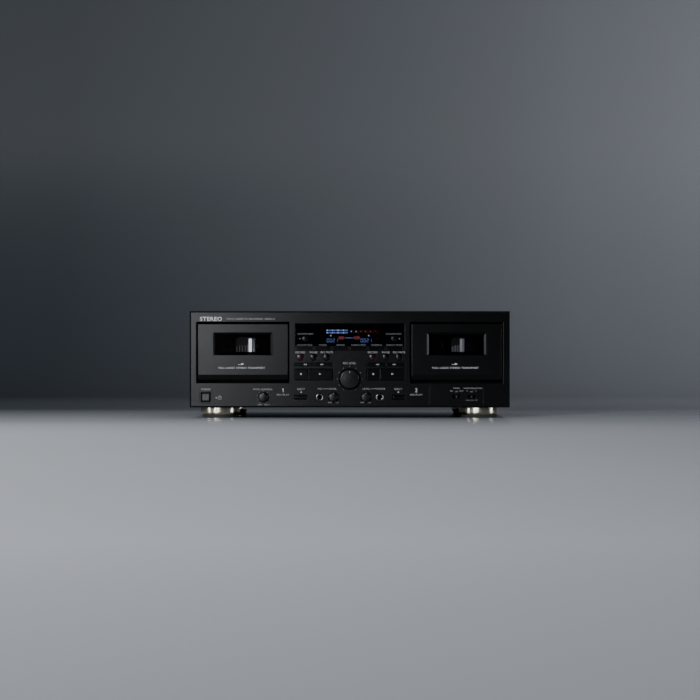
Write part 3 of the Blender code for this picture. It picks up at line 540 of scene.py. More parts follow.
def panel_shape():
    """The moulded front, with rounded lips round every opening."""
    half = PANEL_HIGH.x
    body = span(-half, half, PANEL_LOW.z, PANEL_HIGH.z, 0.6, 3)
    chamfer = 1.8
    sections = [(body(chamfer + 0.3), FRONT), (body(chamfer - 0.1), FRONT + 0.12)]
    sections += [(body(0.1), FRONT + chamfer), (body(0), FRONT + chamfer + 0.3)]
    sections += [(body(0), PANEL_HIGH.y)]
    panel = to_object("front_panel_shell", solid("Y", sections))

    behind = PANEL_HIGH.y + 4
    hollow = solid("Y", [(body(2.5), PLATE_BACK), (body(2.5), behind)])

    doors, recesses, through = bmesh.new(), bmesh.new(), bmesh.new()

    def opening(into, outline, lip, end, start=FRONT):
        """An opening with a rounded lip. One that starts in another's floor doesn't reach above it."""
        sections = rounded(outline, start, -lip, end)
        loft(into, "Y", sections[1:] if start > FRONT else sections)

    for number, side in SIDES:
        low, high = box(f"cassette_door_{number}")
        opening(doors, span(low.x - 2.2, high.x + 2.2, low.z - 3.8, high.z + 2.5, 0.5), 0.5, behind)

    lens_low, lens_high = box("display_window")
    opening(recesses, span(-74.8, 74.8, 91.5, 128.4, 0.4), 0.35, FRONT + 1)
    opening(recesses, disc(LEVEL.x, LEVEL.z, 14.4, 96), 0.5, FRONT + 1.5)
    for knob in SMALL_KNOBS:
        opening(recesses, disc(middle(knob).x, CONTROL_Z, 7.2, 64), 0.3, FRONT + 0.8)
    power = middle("power_button")
    opening(recesses, rect(power.x, power.z, 17, 17, 0.6), 0.3, FRONT + 0.5)
    opening(recesses, span(134, 181.4, 20.5, 43.5, 0.6), 0.25, FRONT + 0.6)  # round both switches
    opening(recesses, span(GROOVE_X - 0.8, GROOVE_X + 0.8, 18, 45, 0.5), 0.3, FRONT + 0.6)

    lens_hole = span(lens_low.x - 0.3, lens_high.x + 0.3, lens_low.z - 0.3, lens_high.z + 0.3, 0.3)
    recess_y = FRONT + 1
    prism(through, "Y", lens_hole, recess_y - 2, behind)
    for name in FUNCTION_KEYS:
        centre = middle(name)
        opening(through, rect(centre.x, centre.z, 22, 4.2, 0.3), 0.15, behind, recess_y)
    for number, side in SIDES:
        for what in ROUND_BUTTONS:
            centre = middle(f"{what}_button_{number}")
            opening(through, disc(centre.x, centre.z, 4.8), 0.3, behind)
        for pair, tall in ((("rewind", "fast_forward"), 4.7), (("stop", "play"), 15.8)):
            left, right = (box(f"{what}_button_{number}") for what in pair)
            x, z = (left[0].x + right[1].x) / 2, (left[0].z + left[1].z) / 2
            opening(through, rect(x, z, right[1].x - left[0].x + 1, tall, 0.5), 0.3, behind)
        centre = middle(f"eject_button_{number}")
        opening(through, rect(centre.x, centre.z, 17.4, 6.2, 0.6), 0.4, behind)
        opening(through, disc(side * JACK_X, CONTROL_Z, 5.6), 0.25, behind)
    for x, z, deep in ((LEVEL.x, LEVEL.z, 1.5), *((middle(k).x, CONTROL_Z, 0.8) for k in SMALL_KNOBS)):
        prism(through, "Y", disc(x, z, 3.5, 32), FRONT + deep - 0.5, behind)
    pocket = bmesh.new()
    opening(pocket, rect(power.x, power.z, 13.4, 13.4, 0.5), 0.2, FRONT + 2, FRONT + 0.5)
    prism(through, "Y", rect(power.x, power.z, 9.9, 9.9, 0.3), FRONT + 1, behind)
    for name in ("timer_switch", "noise_reduction_switch"):
        slot = rect(middle(name).x, middle(name).z, 10.6, 4.4, 0.4)
        opening(through, slot, 0.25, behind, FRONT + 0.6)
    return carved(panel, hollow, doors, recesses, pocket, through)


def front_panel():
    piece(panel_shape(), [PANEL_BLACK], replaces=["front_panel"])


front_panel()

# ---------------------------------------------------------------- doors

WINDOW_WIDTH = 80.4
WINDOW_BOTTOM, WINDOW_TOP = 85.1, 115.7


def door(number):
    """The lid with its bevelled window, and the cassette holder behind it."""
    node = f"cassette_door_{number}"
    low, high = box(node)
    glass_low, glass_high = box(f"door_window_{number}")
    centre, face, back = (low.x + high.x) / 2, low.y, glass_high.y + 0.2
    profile = [(back, low.z), (back, high.z), (face, high.z), (face, low.z + 7.5), (back - 1.5, low.z)]
    lid = to_object(f"door_shell_{number}", solid("X", [(profile, low.x), (profile, high.x)]))
    bevel = lid.modifiers.new("edges", "BEVEL")
    bevel.width, bevel.segments, bevel.limit_method = 1.1 * MM, 4, "ANGLE"
    bevel.angle_limit = math.radians(40)
    applied(lid)

    window = bmesh.new()
    outer = span(centre - WINDOW_WIDTH / 2, centre + WINDOW_WIDTH / 2, WINDOW_BOTTOM, WINDOW_TOP, 0.8)
    inner = span(centre - 37.4, centre + 37.4, WINDOW_BOTTOM + 1, WINDOW_TOP - 3, 0.5)
    loft(window, "Y", [(outer(-0.25), face - 1), (outer(-0.25), face), (outer(0), face + 0.25),
                       (inner(0), face + 2.2), (inner(0), back + 1)])
    rebate = bmesh.new()
    seat = span(glass_low.x - 0.3, glass_high.x + 0.3, glass_low.z - 0.3, glass_high.z + 0.3, 0.4)
    prism(rebate, "Y", seat, glass_low.y - 0.3, back + 1)
    carved(lid, window, rebate)

    rear = high.y
    pocket_back, hinge_y, hinge_z = rear - 1.5, FRONT + 13, 55
    tape_edge, pocket_top, half = 62.1, 125, 50.7
    arms, lips, ledges, pins = (bmesh.new() for _ in range(4))
    for way in (-1, 1):
        def between(near, far):
            return sorted((centre + way * near, centre + way * far))

        x0, x1 = between(half, half + 2.5)
        arm = span(back - 1, rear, hinge_z - 2, pocket_top, 1.2, 4)
        loft(arms, "X", [(arm(0.3), x0), (arm(0), x0 + 0.3), (arm(0), x1 - 0.3), (arm(0.3), x1)])
        x0, x1 = between(half - 4.2, half + 1)
        block(lips, (x0, pocket_back, tape_edge), (x1, rear - 0.1, pocket_top - 1))
        x0, x1 = between(40, half + 1.2)
        block(ledges, (x0, back - 0.8, tape_edge - 2.8), (x1, rear - 0.2, tape_edge - 0.3))
        x0, x1 = between(half + 1, half + 6.4)
        turned(pins, "X", hinge_y, hinge_z, [(1.6, x0), (1.6, x1 - 0.3), (1.3, x1)], 24)
    carved(lid, arms, lips, ledges, pins, operation="UNION")
    for polygon in lid.data.polygons:
        at = polygon.center / MM
        inside = abs(at.x - centre) < WINDOW_WIDTH / 2 and WINDOW_BOTTOM < at.z < WINDOW_TOP
        if inside and face + 0.1 < at.y < back:
            polygon.material_index = 1
    piece(lid, [PANEL_BLACK, BEVEL_BLACK], node, [node])

    pane = bmesh.new()
    shape = span(glass_low.x, glass_high.x, glass_low.z, glass_high.z, 0.4)
    loft(pane, "Y", rounded(shape, glass_low.y, 0.15, glass_high.y, 2))
    piece(to_object(f"door_pane_{number}", pane), [GLASS], node, [f"door_window_{number}"])

    print_ = bmesh.new()
    words(print_, "FULL LOGIC STEREO TRANSPORT", centre - 1.5, 67.8, 2.3, face, 63)
    mark(print_, square(centre - 4.3, 72.4, 4.6, 0.5), face)
    mark(print_, triangle(centre - 0.2, 73.0, 4.0, 2.8), face)
    piece(to_object(f"door_legend_{number}", print_), [BRIGHT_INK], node, weighted=False)


# ---------------------------------------------------------------- keys, buttons and knobs

SHOULDER = PLATE_BACK + 0.4
KEY_MARK = 2.4


def key_cap(node, material, edge=0.6, corner=0.5, marks=()):
    """A rectangular key. Its flange is taller than the cap but no wider, so keys can stand side by side."""
    low, high = box(node)
    centre, size = (low + high) / 2, high - low
    height = size.z - 2 * KEY_FLANGE
    cap = rect(centre.x, centre.z, size.x, height, corner)
    flange = rect(centre.x, centre.z, size.x, size.z, corner)
    sections = rounded(cap, low.y, edge, SHOULDER) + [(flange(), SHOULDER), (flange(), high.y)]
    bm = solid("Y", sections)
    for points in marks:
        mark(bm, points, low.y, paint=1)
    piece(to_object(f"{node}_cap", bm), [material, WHITE_INK], node, [node])


def push_button(node, material, flange, dome=0.8):
    """A round button with a domed face."""
    low, high = box(node)
    centre = (low + high) / 2
    radius = (high.x - low.x) / 2 - flange
    turns = [math.pi / 2 * i / 10 for i in range(1, 11)]
    profile = [(radius * math.sin(t), low.y + dome * (1 - math.cos(t))) for t in turns]
    profile += [(radius, SHOULDER), (radius + flange, SHOULDER), (radius + flange, high.y)]
    bm = turned(bmesh.new(), "Y", centre.x, centre.z, profile)
    piece(to_object(f"{node}_cap", bm), [material], node, [node])


def knob_cap(node, radius, dish, flutes, indicator):
    """A knob with a slightly domed face, a fluted skirt and a printed indicator at the top."""
    low, high = box(node)
    centre = (low + high) / 2
    face, flare = low.y, 0.2
    back = FRONT + dish - 0.6
    rim = disc(centre.x, centre.z, radius, flutes * 6)
    skirt = fluted(centre.x, centre.z, radius, 0.22, flutes)
    shaft, edge, domed = 3, 1.5, 0.45
    sections = [(rim(radius * (1 - t)), face + domed * t * t) for t in (0.12, 0.3, 0.5, 0.65, 0.78)]
    top = face + domed * 0.64
    sections += rounded(rim, top, edge, top + 2, 6)
    sections += [(skirt(), top + 2.6), (skirt(), back - 1.8), (rim(-flare), back - 1.3)]
    sections += [(rim(-flare), back), (rim(radius - shaft), back), (rim(radius - shaft), high.y)]
    bm = solid("Y", sections)
    mark(bm, indicator(centre), face + 0.5 * domed, paint=1)
    piece(to_object(f"{node}_cap", bm), [KNOB_BLACK, WHITE_INK], node, [node], angle=24)


def edge_line(centre):
    """A short line on a small knob's rim."""
    return square(centre.x, centre.z + 5.2, 0.6, 1.3)


def dot(centre):
    """A dot near the top of the large knob's face."""
    return disc(centre.x, centre.z + 9.4, 0.7, 20)()


def double_arrow(x, z, way):
    turn = 0 if way > 0 else 180
    return [triangle(x - 1.1, z, 2.2, 2.2, turn), triangle(x + 1.1, z, 2.2, 2.2, turn)]


def controls():
    for number, side in SIDES:
        for what in ROUND_BUTTONS:
            push_button(f"{what}_button_{number}", KEY_RED if what == "record" else KEY_BLACK, KEY_FLANGE)
        push_button(f"counter_reset_button_{number}", KEY_BLACK, 0.8, 0.35)
        for what, way in (("rewind", -1), ("fast_forward", 1)):
            node = f"{what}_button_{number}"
            at = middle(node)
            key_cap(node, KEY_BLACK, 0.5, 0.4, double_arrow(at.x - way * 1.4, at.z, way))
        stop, play = middle(f"stop_button_{number}"), middle(f"play_button_{number}")
        key_cap(f"stop_button_{number}", KEY_BLACK, 0.7, 0.5,
                [square(stop.x, stop.z + 0.6, KEY_MARK, KEY_MARK)])
        key_cap(f"play_button_{number}", KEY_BLACK, 0.7, 0.5,
                [triangle(play.x, play.z + 0.6, 3.2, 2.9)])
        key_cap(f"eject_button_{number}", KEY_BLACK, 1.4, 0.8)
    for node in FUNCTION_KEYS:
        key_cap(node, KEY_BLACK, 0.3, 0.3)
    key_cap("power_button", KEY_GREY, 0.7, 0.7)
    knob_cap("rec_level_knob", 13, 1.5, 40, dot)
    for node in SMALL_KNOBS:
        knob_cap(node, 6.2, 0.8, 24, edge_line)
    for node in ("timer_switch", "noise_reduction_switch"):
        low, high = box(node)
        at = (low + high) / 2
        cap = rect(at.x, at.z, 3.4, 3.8, 0.4)
        slider = rect(at.x, at.z, high.x - low.x, high.z - low.z, 0.4)
        sections = rounded(cap, low.y, 0.5, SHOULDER) + [(slider(), SHOULDER), (slider(), high.y)]
        bm = solid("Y", sections)
        mark(bm, square(at.x, at.z, 0.5, 2.2), low.y, paint=1)
        piece(to_object(f"{node}_lever", bm), [KEY_BLACK, LENS_INK], node, [node])


controls()


def shade_linings():
    """Matt black washers in the controls' dishes, and a square one round the power button: dark sheets laid
    in the recesses as painted shade.
    """
    for node, radius, deep in (("rec_level_knob", 14.2, 1.5), *((k, 7.0, 0.8) for k in SMALL_KNOBS)):
        at, floor = middle(node), FRONT + deep
        profile = [(3.6, floor), (3.6, floor - 0.2), (radius, floor - 0.2), (radius, floor)]
        piece(to_object(f"{node}_shade_washer", hoop(bmesh.new(), at.x, at.z, profile, 64)), [MATT_BLACK])
    at, floor = middle("power_button"), FRONT + 2
    square_ = rect(at.x, at.z, 13.2, 13.2, 0.4)
    hole = rect(at.x, at.z, 9.9, 9.9, 0.3)
    lining = to_object("power_button_shade_lining", prism(bmesh.new(), "Y", square_, floor - 0.3, floor))
    carved(lining, prism(bmesh.new(), "Y", hole, floor - 1, floor + 1))
    piece(lining, [MATT_BLACK])


shade_linings()

# ---------------------------------------------------------------- printing on the panel

LABEL = 2.2


def panel_legend():
    """Everything printed on the front panel."""
    bm = bmesh.new()

    def label(text, x, z, width=None, height=LABEL, deep=0.0, bold=0.0, paint=0):
        words(bm, text, x, z, height, FRONT + deep, width, bold, paint)

    label("STEREO", -188.4, 134.4, 30, 5.0, bold=0.12, paint=1)
    label("TWIN CASSETTE RECORDER", -142.6, 134.3, 50)
    label("SERIES II", -108.7, 134.3, 13.8)
    label("POWER", -195.2, 38.6, 12.4)
    open_ring(bm, -176.6, 27.2, 2.5, 0.5)
    mark(bm, square(-176.6, 28.9, 0.7, 3.2), FRONT)
    mark(bm, triangle(-181.6, 27.2, 2.0, 2.6, 180), FRONT)
    label("PITCH CONTROL", -117.8, 38.6, 26)
    label("- LOW    HIGH +", -117.3, 17.9, 17, 1.8)
    numeral = ((-0.4, -2.6), (0.4, -2.6), (0.4, 2.6), (-0.2, 2.6), (-1.5, 1.6), (-1.5, 0.9), (-0.4, 1.5))
    mark(bm, [(u - 90.4, v + 37.4) for u, v in numeral], FRONT, paint=1)
    label("2", 90.4, 37.4, None, 5.2, paint=1)
    for side in (-1, 1):
        label("REC/PLAY", side * 90.5, 31.4, 16.8)
        label("EJECT", side * 66.0, 39.1, 10.4)
        mark(bm, triangle(side * 66, 35.4, 2.6, 3.0, 90), FRONT)
        x = side * 49.1
        label("RECORD", x - 18, 88.9, 13, 2.5)
        label("PAUSE", x, 88.9, 10.1, 2.5)
        label("REC MUTE", x + 18, 88.9, 16.4, 2.5)
        label("MIN", side * 22 - 5.0, 20.8, 4.6, 1.7)
        label("MAX", side * 22 + 5.0, 20.8, 4.8, 1.7)
    label("MIC", -40.4, 39.4, 5.8)
    label("LEVEL", -22.8, 39.4, 10.3)
    label("LEVEL", 22.6, 39.4, 10.0)
    label("PHONES", 40.9, 39.4, 14.2)
    mark(bm, square(-32.7, 39.4, 7.4, 0.5), FRONT)
    mark(bm, square(30.7, 39.4, 4.0, 0.5), FRONT)
    label("REC LEVEL", -0.2, 74.2, 17.6, 2.6)
    scale_marks(bm, LEVEL.x, LEVEL.z, 16.8, 11, 0.42)
    scale_marks(bm, middle("pitch_knob").x, CONTROL_Z, 8.6, 9, 0.35)
    label("TIMER", 145, 40.1, 9.2, 1.8, 0.6)
    label("NOISE REDUCTION", 167.4, 40.1, 25.0, 1.8, 0.6)
    for x, z, text in ((138.4, 36.4, "REC"), (145, 35.4, "OFF"), (151.8, 36.4, "PLAY"),
                       (159.6, 36.4, "B"), (165.5, 35.4, "OFF"), (171.4, 36.4, "C")):
        label(text, x, z, None, 1.5, 0.6)
    label("IN/OUT", 166, 23.8, 16, 1.6, 0.6, paint=2)
    piece(to_object("panel_legend", bm), [WHITE_INK, BRIGHT_INK, LENS_INK], weighted=False)


def open_ring(bm, x, z, radius, width, sides=32):
    """A printed ring, open at the top."""
    gap = math.radians(28)
    turns = [math.pi / 2 + gap + (2 * math.pi - 2 * gap) * i / sides for i in range(sides + 1)]
    outer, inner = (
        [(x + r * math.cos(t), z + r * math.sin(t)) for t in turns] for r in (radius, radius - width)
    )
    mark(bm, outer + inner[::-1], FRONT)


def scale_marks(bm, x, z, radius, count, size):
    """Dots round a knob, over the 300 degrees that it turns."""
    for i in range(count):
        t = math.radians(90 + 150 - 300 * i / (count - 1))
        mark(bm, disc(x + radius * math.cos(t), z + radius * math.sin(t), size, 14)(), FRONT)


panel_legend()

# ---------------------------------------------------------------- display

SEGMENTS = {"0": "abcdef", "1": "bc", "2": "abged", "7": "abc"}


def digit(bm, text, x, z, width, height, y, paint):
    """A seven-segment digit with its lower left corner at (x, z)."""
    t, half = 0.55, height / 2
    places = {
        "a": (x + width / 2, z + height, width - t, t),
        "g": (x + width / 2, z + half, width - t, t),
        "d": (x + width / 2, z, width - t, t),
        "f": (x, z + half * 1.5, t, half - t),
        "b": (x + width, z + half * 1.5, t, half - t),
        "e": (x, z + half / 2, t, half - t),
        "c": (x + width, z + half / 2, t, half - t),
    }
    for name in SEGMENTS[text]:
        mark(bm, square(*places[name]), y, paint)


def display():
    """The smoked lens, the printing on it, and the lit tube behind it."""
    low, high = box("display_window")
    shape = span(low.x, high.x, low.z, high.z, 0.5)
    lens = to_object("display_lens", solid("Y", rounded(shape, low.y, 0.25, high.y)))
    holes = bmesh.new()
    for number, side in SIDES:
        at = middle(f"counter_reset_button_{number}")
        loft(holes, "Y", rounded(disc(at.x, at.z, 4), low.y, -0.2, high.y + 1, 3))
    carved(lens, holes)
    piece(lens, [LENS], replaces=["display_window"])

    bm = bmesh.new()
    for side in (-1, 1):
        words(bm, "COUNTER RESET", side * 60, 114.0, 1.9, low.y, 21.5)
        mark(bm, triangle(side * 67.3, 107.4, 1.8, 2.2, 90 + side * 90), low.y)
    row = ((-61.2, 20.6, "COUNTER MODE"), (-36.7, 10.8, "TIMER"), (-12.2, 10.8, "REVERSE"),
           (12.0, 19.4, "DUBBING SPEED"), (36.5, 14.6, "DUBBING"), (60.8, 21.8, "DISPLAY MODE"))
    for x, width, text in row:
        words(bm, text, x, 98.9, 1.8, low.y, width)
    piece(to_object("display_legend", bm), [LENS_INK], weighted=False)

    tube = bmesh.new()
    tube_y = high.y + 0.7
    shape = span(-44, 44, 100.4, 122.6, 0.8)
    loft(tube, "Y", rounded(shape, tube_y, 0.4, tube_y + 3.2))
    face = tube_y - INK
    blue, red, orange, white, dim, pale = range(1, 7)
    for i in range(12):
        x = -30.6 + 2.45 * i
        for z in (118.9, 115.6):
            mark(tube, square(x, z, 1.75, 1.9), face, blue if i % 3 else pale)
    for i, paint in enumerate((white, white, orange, orange, orange, red)):
        x = 2.2 + 6.5 * i
        mark(tube, square(x, 117.3, 1.5, 1.5), face, paint)
        for z in (118.9, 115.6):
            mark(tube, square(x + 3.2, z, 2.0, 0.9), face, dim)
    for x in (-25.6, 25.9):
        mark(tube, square(x, 111.7, 1.6, 1.9), face, white)
    for x0, x1 in ((-15.3, -7.4), (5.3, 14.0)):
        mark(tube, span(x0, x1, 106.5, 110.6, 0.6, 3)(), face, red)
    mark(tube, square(-1.1, 108.6, 10.6, 0.8), face, blue)
    for start in (-30.9, 15.1):
        for i, text in enumerate("0021"):
            digit(tube, text, start + 3.95 * i, 102.8, 2.5, 4.6, face, blue)
    lamps = [
        glowing(f"display_{name}", colour, strength)
        for name, colour, strength in (
            ("blue", (0.24, 0.37, 0.88), 2.2), ("red", (0.62, 0.13, 0.12), 0.8),
            ("orange", (0.95, 0.42, 0.20), 1.0), ("white", (0.60, 0.72, 1.0), 2.4),
            ("dim", (0.5, 0.08, 0.05), 0.4), ("pale", (0.45, 0.62, 1.0), 3.6),
        )
    ]
    dark = moulded("display_tube_glass", (0.006, 0.0065, 0.008), 0.25, 300.0, 0.002)
    piece(to_object("display_tube", tube), [dark, *lamps])

    card = bmesh.new()
    board = span(-73, 73, 96, 127.4, 1)
    loft(card, "Y", rounded(board, tube_y + 3.4, 0.3, tube_y + 5))
    piece(to_object("display_card", card), [INSIDE_BLACK])


display()

# ---------------------------------------------------------------- feet and sockets


def foot(node):
    """A plated ring over a rubber pad."""
    low, high = box(node)
    x, y = (low.x + high.x) / 2, (low.y + high.y) / 2
    radius, ring_z = (high.x - low.x) / 2, 3.8
    ring = [(radius - 2.6, ring_z), (radius - 1.5, ring_z), (radius - 1.1, ring_z + 0.2)]
    ring += [
        (radius - 0.9 * (1 - math.sin(t)), ring_z + 0.5 + 2 * t)
        for t in (math.pi / 2 * i / 6 for i in range(7))
    ]
    ring += [(radius, high.z - 0.9), (radius - 0.2, high.z - 0.3), (radius - 0.6, high.z)]
    piece(to_object(f"{node}_ring", turned(bmesh.new(), "Z", x, y, ring, 128)), [CHAMPAGNE], replaces=[node])
    base = radius - 2.5
    pad = [(base - 1.2, 0), (base - 0.4, 0.25), (base, 0.9)]
    pad += [(base, ring_z - 0.3), (base - 0.3, ring_z)]
    piece(to_object(f"{node}_pad", turned(bmesh.new(), "Z", x, y, pad, 96)), [RUBBER])


for node in ("front_foot_left", "front_foot_right", "rear_foot_left", "rear_foot_right"):
    foot(node)


def front_sockets():
    """The jack board behind the panel: sockets with plated collars, and the two level controls."""
    low, high = box("front_jack_board")
    deck_z, y0 = low.z + 1.6, PLATE_BACK + 0.6
    board = bmesh.new()
    block(board, (low.x, y0 + 1, low.z), (high.x, high.y, deck_z), radius=1)
    piece(to_object("jack_board_card", board), [CIRCUIT], replaces=["front_jack_board"])
    for name, side in (("mic", -1), ("phones", 1)):
        x = side * JACK_X
        housing = bmesh.new()
        shape = span(x - 8, x + 8, deck_z + 0.1, CONTROL_Z + 8, 0.8)
        loft(housing, "Y", [(shape(0.4), y0), (shape(), y0 + 0.4), (shape(), high.y - 2)])
        body = to_object(f"{name}_socket_housing", housing)
        carved(body, prism(bmesh.new(), "Y", disc(x, CONTROL_Z, 3.25), y0 - 1, high.y - 5))
        piece(body, [INSIDE_BLACK])
        inner, outer, nose = 3.3, 5.3, FRONT - 1
        crown, half = (inner + outer) / 2, (outer - inner) / 2
        turns = [math.pi * i / 12 for i in range(13)]
        profile = [(inner, y0 - 0.2)]
        profile += [(crown - half * math.cos(t), nose + half * (1 - math.sin(t))) for t in turns]
        profile += [(outer, y0 - 0.2)]
        piece(to_object(f"{name}_socket_collar", hoop(bmesh.new(), x, CONTROL_Z, profile)), [COLLAR])
        pot = bmesh.new()
        x = side * 22
        shape = span(x - 6, x + 6, deck_z + 0.1, CONTROL_Z + 7, 0.8)
        loft(pot, "Y", rounded(shape, y0 + 2, 0.4, y0 + 11))
        body = to_object(f"{name}_level_control", pot)
        carved(body, prism(bmesh.new(), "Y", disc(x, CONTROL_Z, 3.4, 32), y0, y0 + 13))
        piece(body, [INSIDE_BLACK])


front_sockets()

# ---------------------------------------------------------------- cassette wells


def painted_well_glow(number, side):
    """The reflector between the hubs: an arched plate, fine ribs and a bright bar beside a dimmer one, all
    with a painted glow in place of the light that falls into the well.
    """
    x = side * 145
    wall, low, high, arch = FRONT + 19.4, 89.7, 109.8, 6.0
    near, far, bars = WELL_GLOW_SPANS[number]
    left, right = x + near, x + far
    plate = [(right, low), (right, high - 1), (right - 1, high)]
    plate += [
        (left + arch - arch * math.sin(t), high - arch + arch * math.cos(t))
        for t in (math.pi / 2 * i / 8 for i in range(9))
    ]
    plate.append((left, low))
    bm = solid("Y", [(plate, wall), (plate, wall - 0.8)])
    pitch = (bars[0][0] - near - 2.4) / 4
    for i, top in enumerate((97.0, 98.2, 98.6, 98.4, 99.6)):
        rib = disc(left + 1.2 + pitch * i, wall - 1.2, 0.42, 16)
        loft(bm, "Z", [(rib(0.2), low + 0.1), (rib(), low + 0.3), (rib(), top - 0.2), (rib(0.2), top)], 1)
    for paint, (start, end) in enumerate(bars, start=2):
        bar = span(x + start, x + end, low + 0.1, 107.7, 0.5)
        loft(bm, "Y", rounded(bar, wall - 2.6, 0.4, wall - 0.9), paint)
    finishes = [REFLECTOR, RIB_GLOW[number], BAR_GLOW[number], SIDE_GLOW]
    piece(to_object(f"well_reflector_{number}", bm), finishes)


# Painted glow for each well: stronger in deck 1 than in deck 2, as the light falls from the left.
REFLECTOR = painted_glow("reflector_plastic", (0.030, 0.028, 0.028), 0.10)
RIB_GLOW = {"1": painted_glow("reflector_ribs_1", (0.60, 0.58, 0.55), 0.16),
            "2": painted_glow("reflector_ribs_2", (0.55, 0.53, 0.50), 0.10)}
BAR_GLOW = {"1": painted_glow("painted_glow_bar_1", (0.95, 0.95, 0.92), 2.4),
            "2": painted_glow("painted_glow_bar_2", (0.80, 0.80, 0.76), 0.30)}
SIDE_GLOW = painted_glow("painted_glow_bar_side", (0.60, 0.58, 0.56), 0.08)
WELL_GLOW_SPANS = {
    "1": (-10.6, 16.6, ((7.0, 11.0), (12.6, 15.4))),
    "2": (-5.8, 12.6, ((5.8, 9.2), (9.8, 11.6))),
}


def head_bridge(number):
    """The black slide with its shelf, and the record and erase heads on it."""
    node = f"head_bridge_{number}"
    low, high = box(node)
    x, roller_x = (low.x + high.x) / 2, middle(f"pinch_roller_{number}").x
    roller_z, back = middle(f"pinch_roller_{number}").z, high.y
    face = back - 1.4
    slide = span(low.x, high.x, low.z, high.z, 2)
    plate = to_object(f"head_slide_{number}", solid("Y", rounded(slide, face, 0.2, back, 2)))
    shelf, post, axle = bmesh.new(), bmesh.new(), bmesh.new()
    block(shelf, (x - 35, FRONT + 8.5, 48), (x + 35, face + 0.7, 50.4), 0, 0.5)
    block(post, (roller_x - 3, FRONT + 13.4, 49.4), (roller_x + 3, face + 0.6, 59.2))
    tip = [(0.7, FRONT + 5.8), (1, FRONT + 6.1), (1, FRONT + 14.2)]
    turned(axle, "Y", roller_x, roller_z, tip, 24)
    carved(plate, shelf, post, axle, operation="UNION")
    piece(plate, [MATT_BLACK], node, [node])
    heads = bmesh.new()
    for x0, x1, y0, y1, top in ((-5.75, 5.75, 5.8, 14.5, 60), (-19.5, -12.5, 6.2, 14.3, 59.4)):
        # Mounts under the heads in matt black, partly a real mount and partly painted shade where the gap
        # under the door shows them.
        mount = span(x + x0, x + x1, 49.9, 51.5)
        loft(heads, "Y", [(mount(), FRONT + y0 + 0.1), (mount(), FRONT + y1 - 0.6)], 2)
        profile = span(x + x0, x + x1, 51.6, top, 1.6)
        start, end = FRONT + y0, FRONT + y1
        loft(heads, "Y", [(profile(0.2), start), (profile(), start + 0.2), (profile(), end)])
        gap = span(x + x0 * 0.7 + x1 * 0.3, x + x0 * 0.3 + x1 * 0.7, start + 1, end - 1.6, 0.4)
        loft(heads, "Z", [(gap(), top - 0.1), (gap(0.1), top + 0.15)], 1)
    piece(to_object(f"tape_heads_{number}", heads), [STEEL, BLACKENED, MATT_BLACK], node)


for number, side in SIDES:
    door(number)
    painted_well_glow(number, side)
    head_bridge(number)

# ---------------------------------------------------------------- case


def screws(name, places, axis, radius=3.0):
    """Pan-head screws with a cross recess, each given by its place and the way its head faces."""
    bm, slots = bmesh.new(), bmesh.new()
    for place, way in places:
        along = "XYZ".index(axis)
        u, v = (place[k] for k in range(3) if k != along)
        seat = place[along]
        turns = [math.pi / 2 * i / 5 for i in range(1, 6)]
        tall = 1.0
        profile = [(radius * math.sin(t), seat + way * tall * math.cos(t)) for t in turns]
        profile += [(radius, seat - way * 0.2)]
        turned(bm, axis, u, v, profile, 32)
        for a, b in ((0.32, 1.7), (1.7, 0.3201)):  # arms that meet without coplanar faces
            prism(slots, axis, rect(u, v, 2 * a, 2 * b), seat + way * 0.45, seat + way * 2)
    piece(carved(to_object(name, bm), slots, use_self=True), [BLACK_SCREW])


def top_cover():
    """The folded sheet, with rounded vents."""
    low, high = box("top_cover")
    half, top, sheet, bend = high.x, high.z, 1, 3

    def corner(x, radius, start):
        turns = [math.radians(start + 90 * i / 8) for i in range(9)]
        return [(x + radius * math.cos(t), top - bend + radius * math.sin(t)) for t in turns]

    inside = half - bend
    outline = [(half, low.z), *corner(inside, bend, 0), *corner(-inside, bend, 90), (-half, low.z)]
    outline.append((-half + sheet, low.z))
    outline += (corner(inside, bend - sheet, 0) + corner(-inside, bend - sheet, 90))[::-1]
    outline.append((half - sheet, low.z))
    cover = to_object("cover_shell", solid("Y", [(outline, low.y), (outline, high.y)]))
    width, pitch = 2.6, 8
    slots = bmesh.new()
    for x in (-145, 120):
        for i in range(12):
            prism(slots, "Z", rect(x + (i - 5.5) * pitch, 70, width, 26, width / 2), top - 6, top + 6)
    for way in (-1, 1):
        for i in range(10):
            slot = rect(20 + i * pitch, 112, width, 22, width / 2)
            prism(slots, "X", slot, way * (half - 6), way * (half + 6))
    carved(cover, slots)
    piece(cover, [POWDER], replaces=["top_cover"])
    screws("cover_side_screws", [((way * (half - 0.05), y, 40), way)
                                 for way in (-1, 1) for y in (-70, 90)], "X", 3.6)


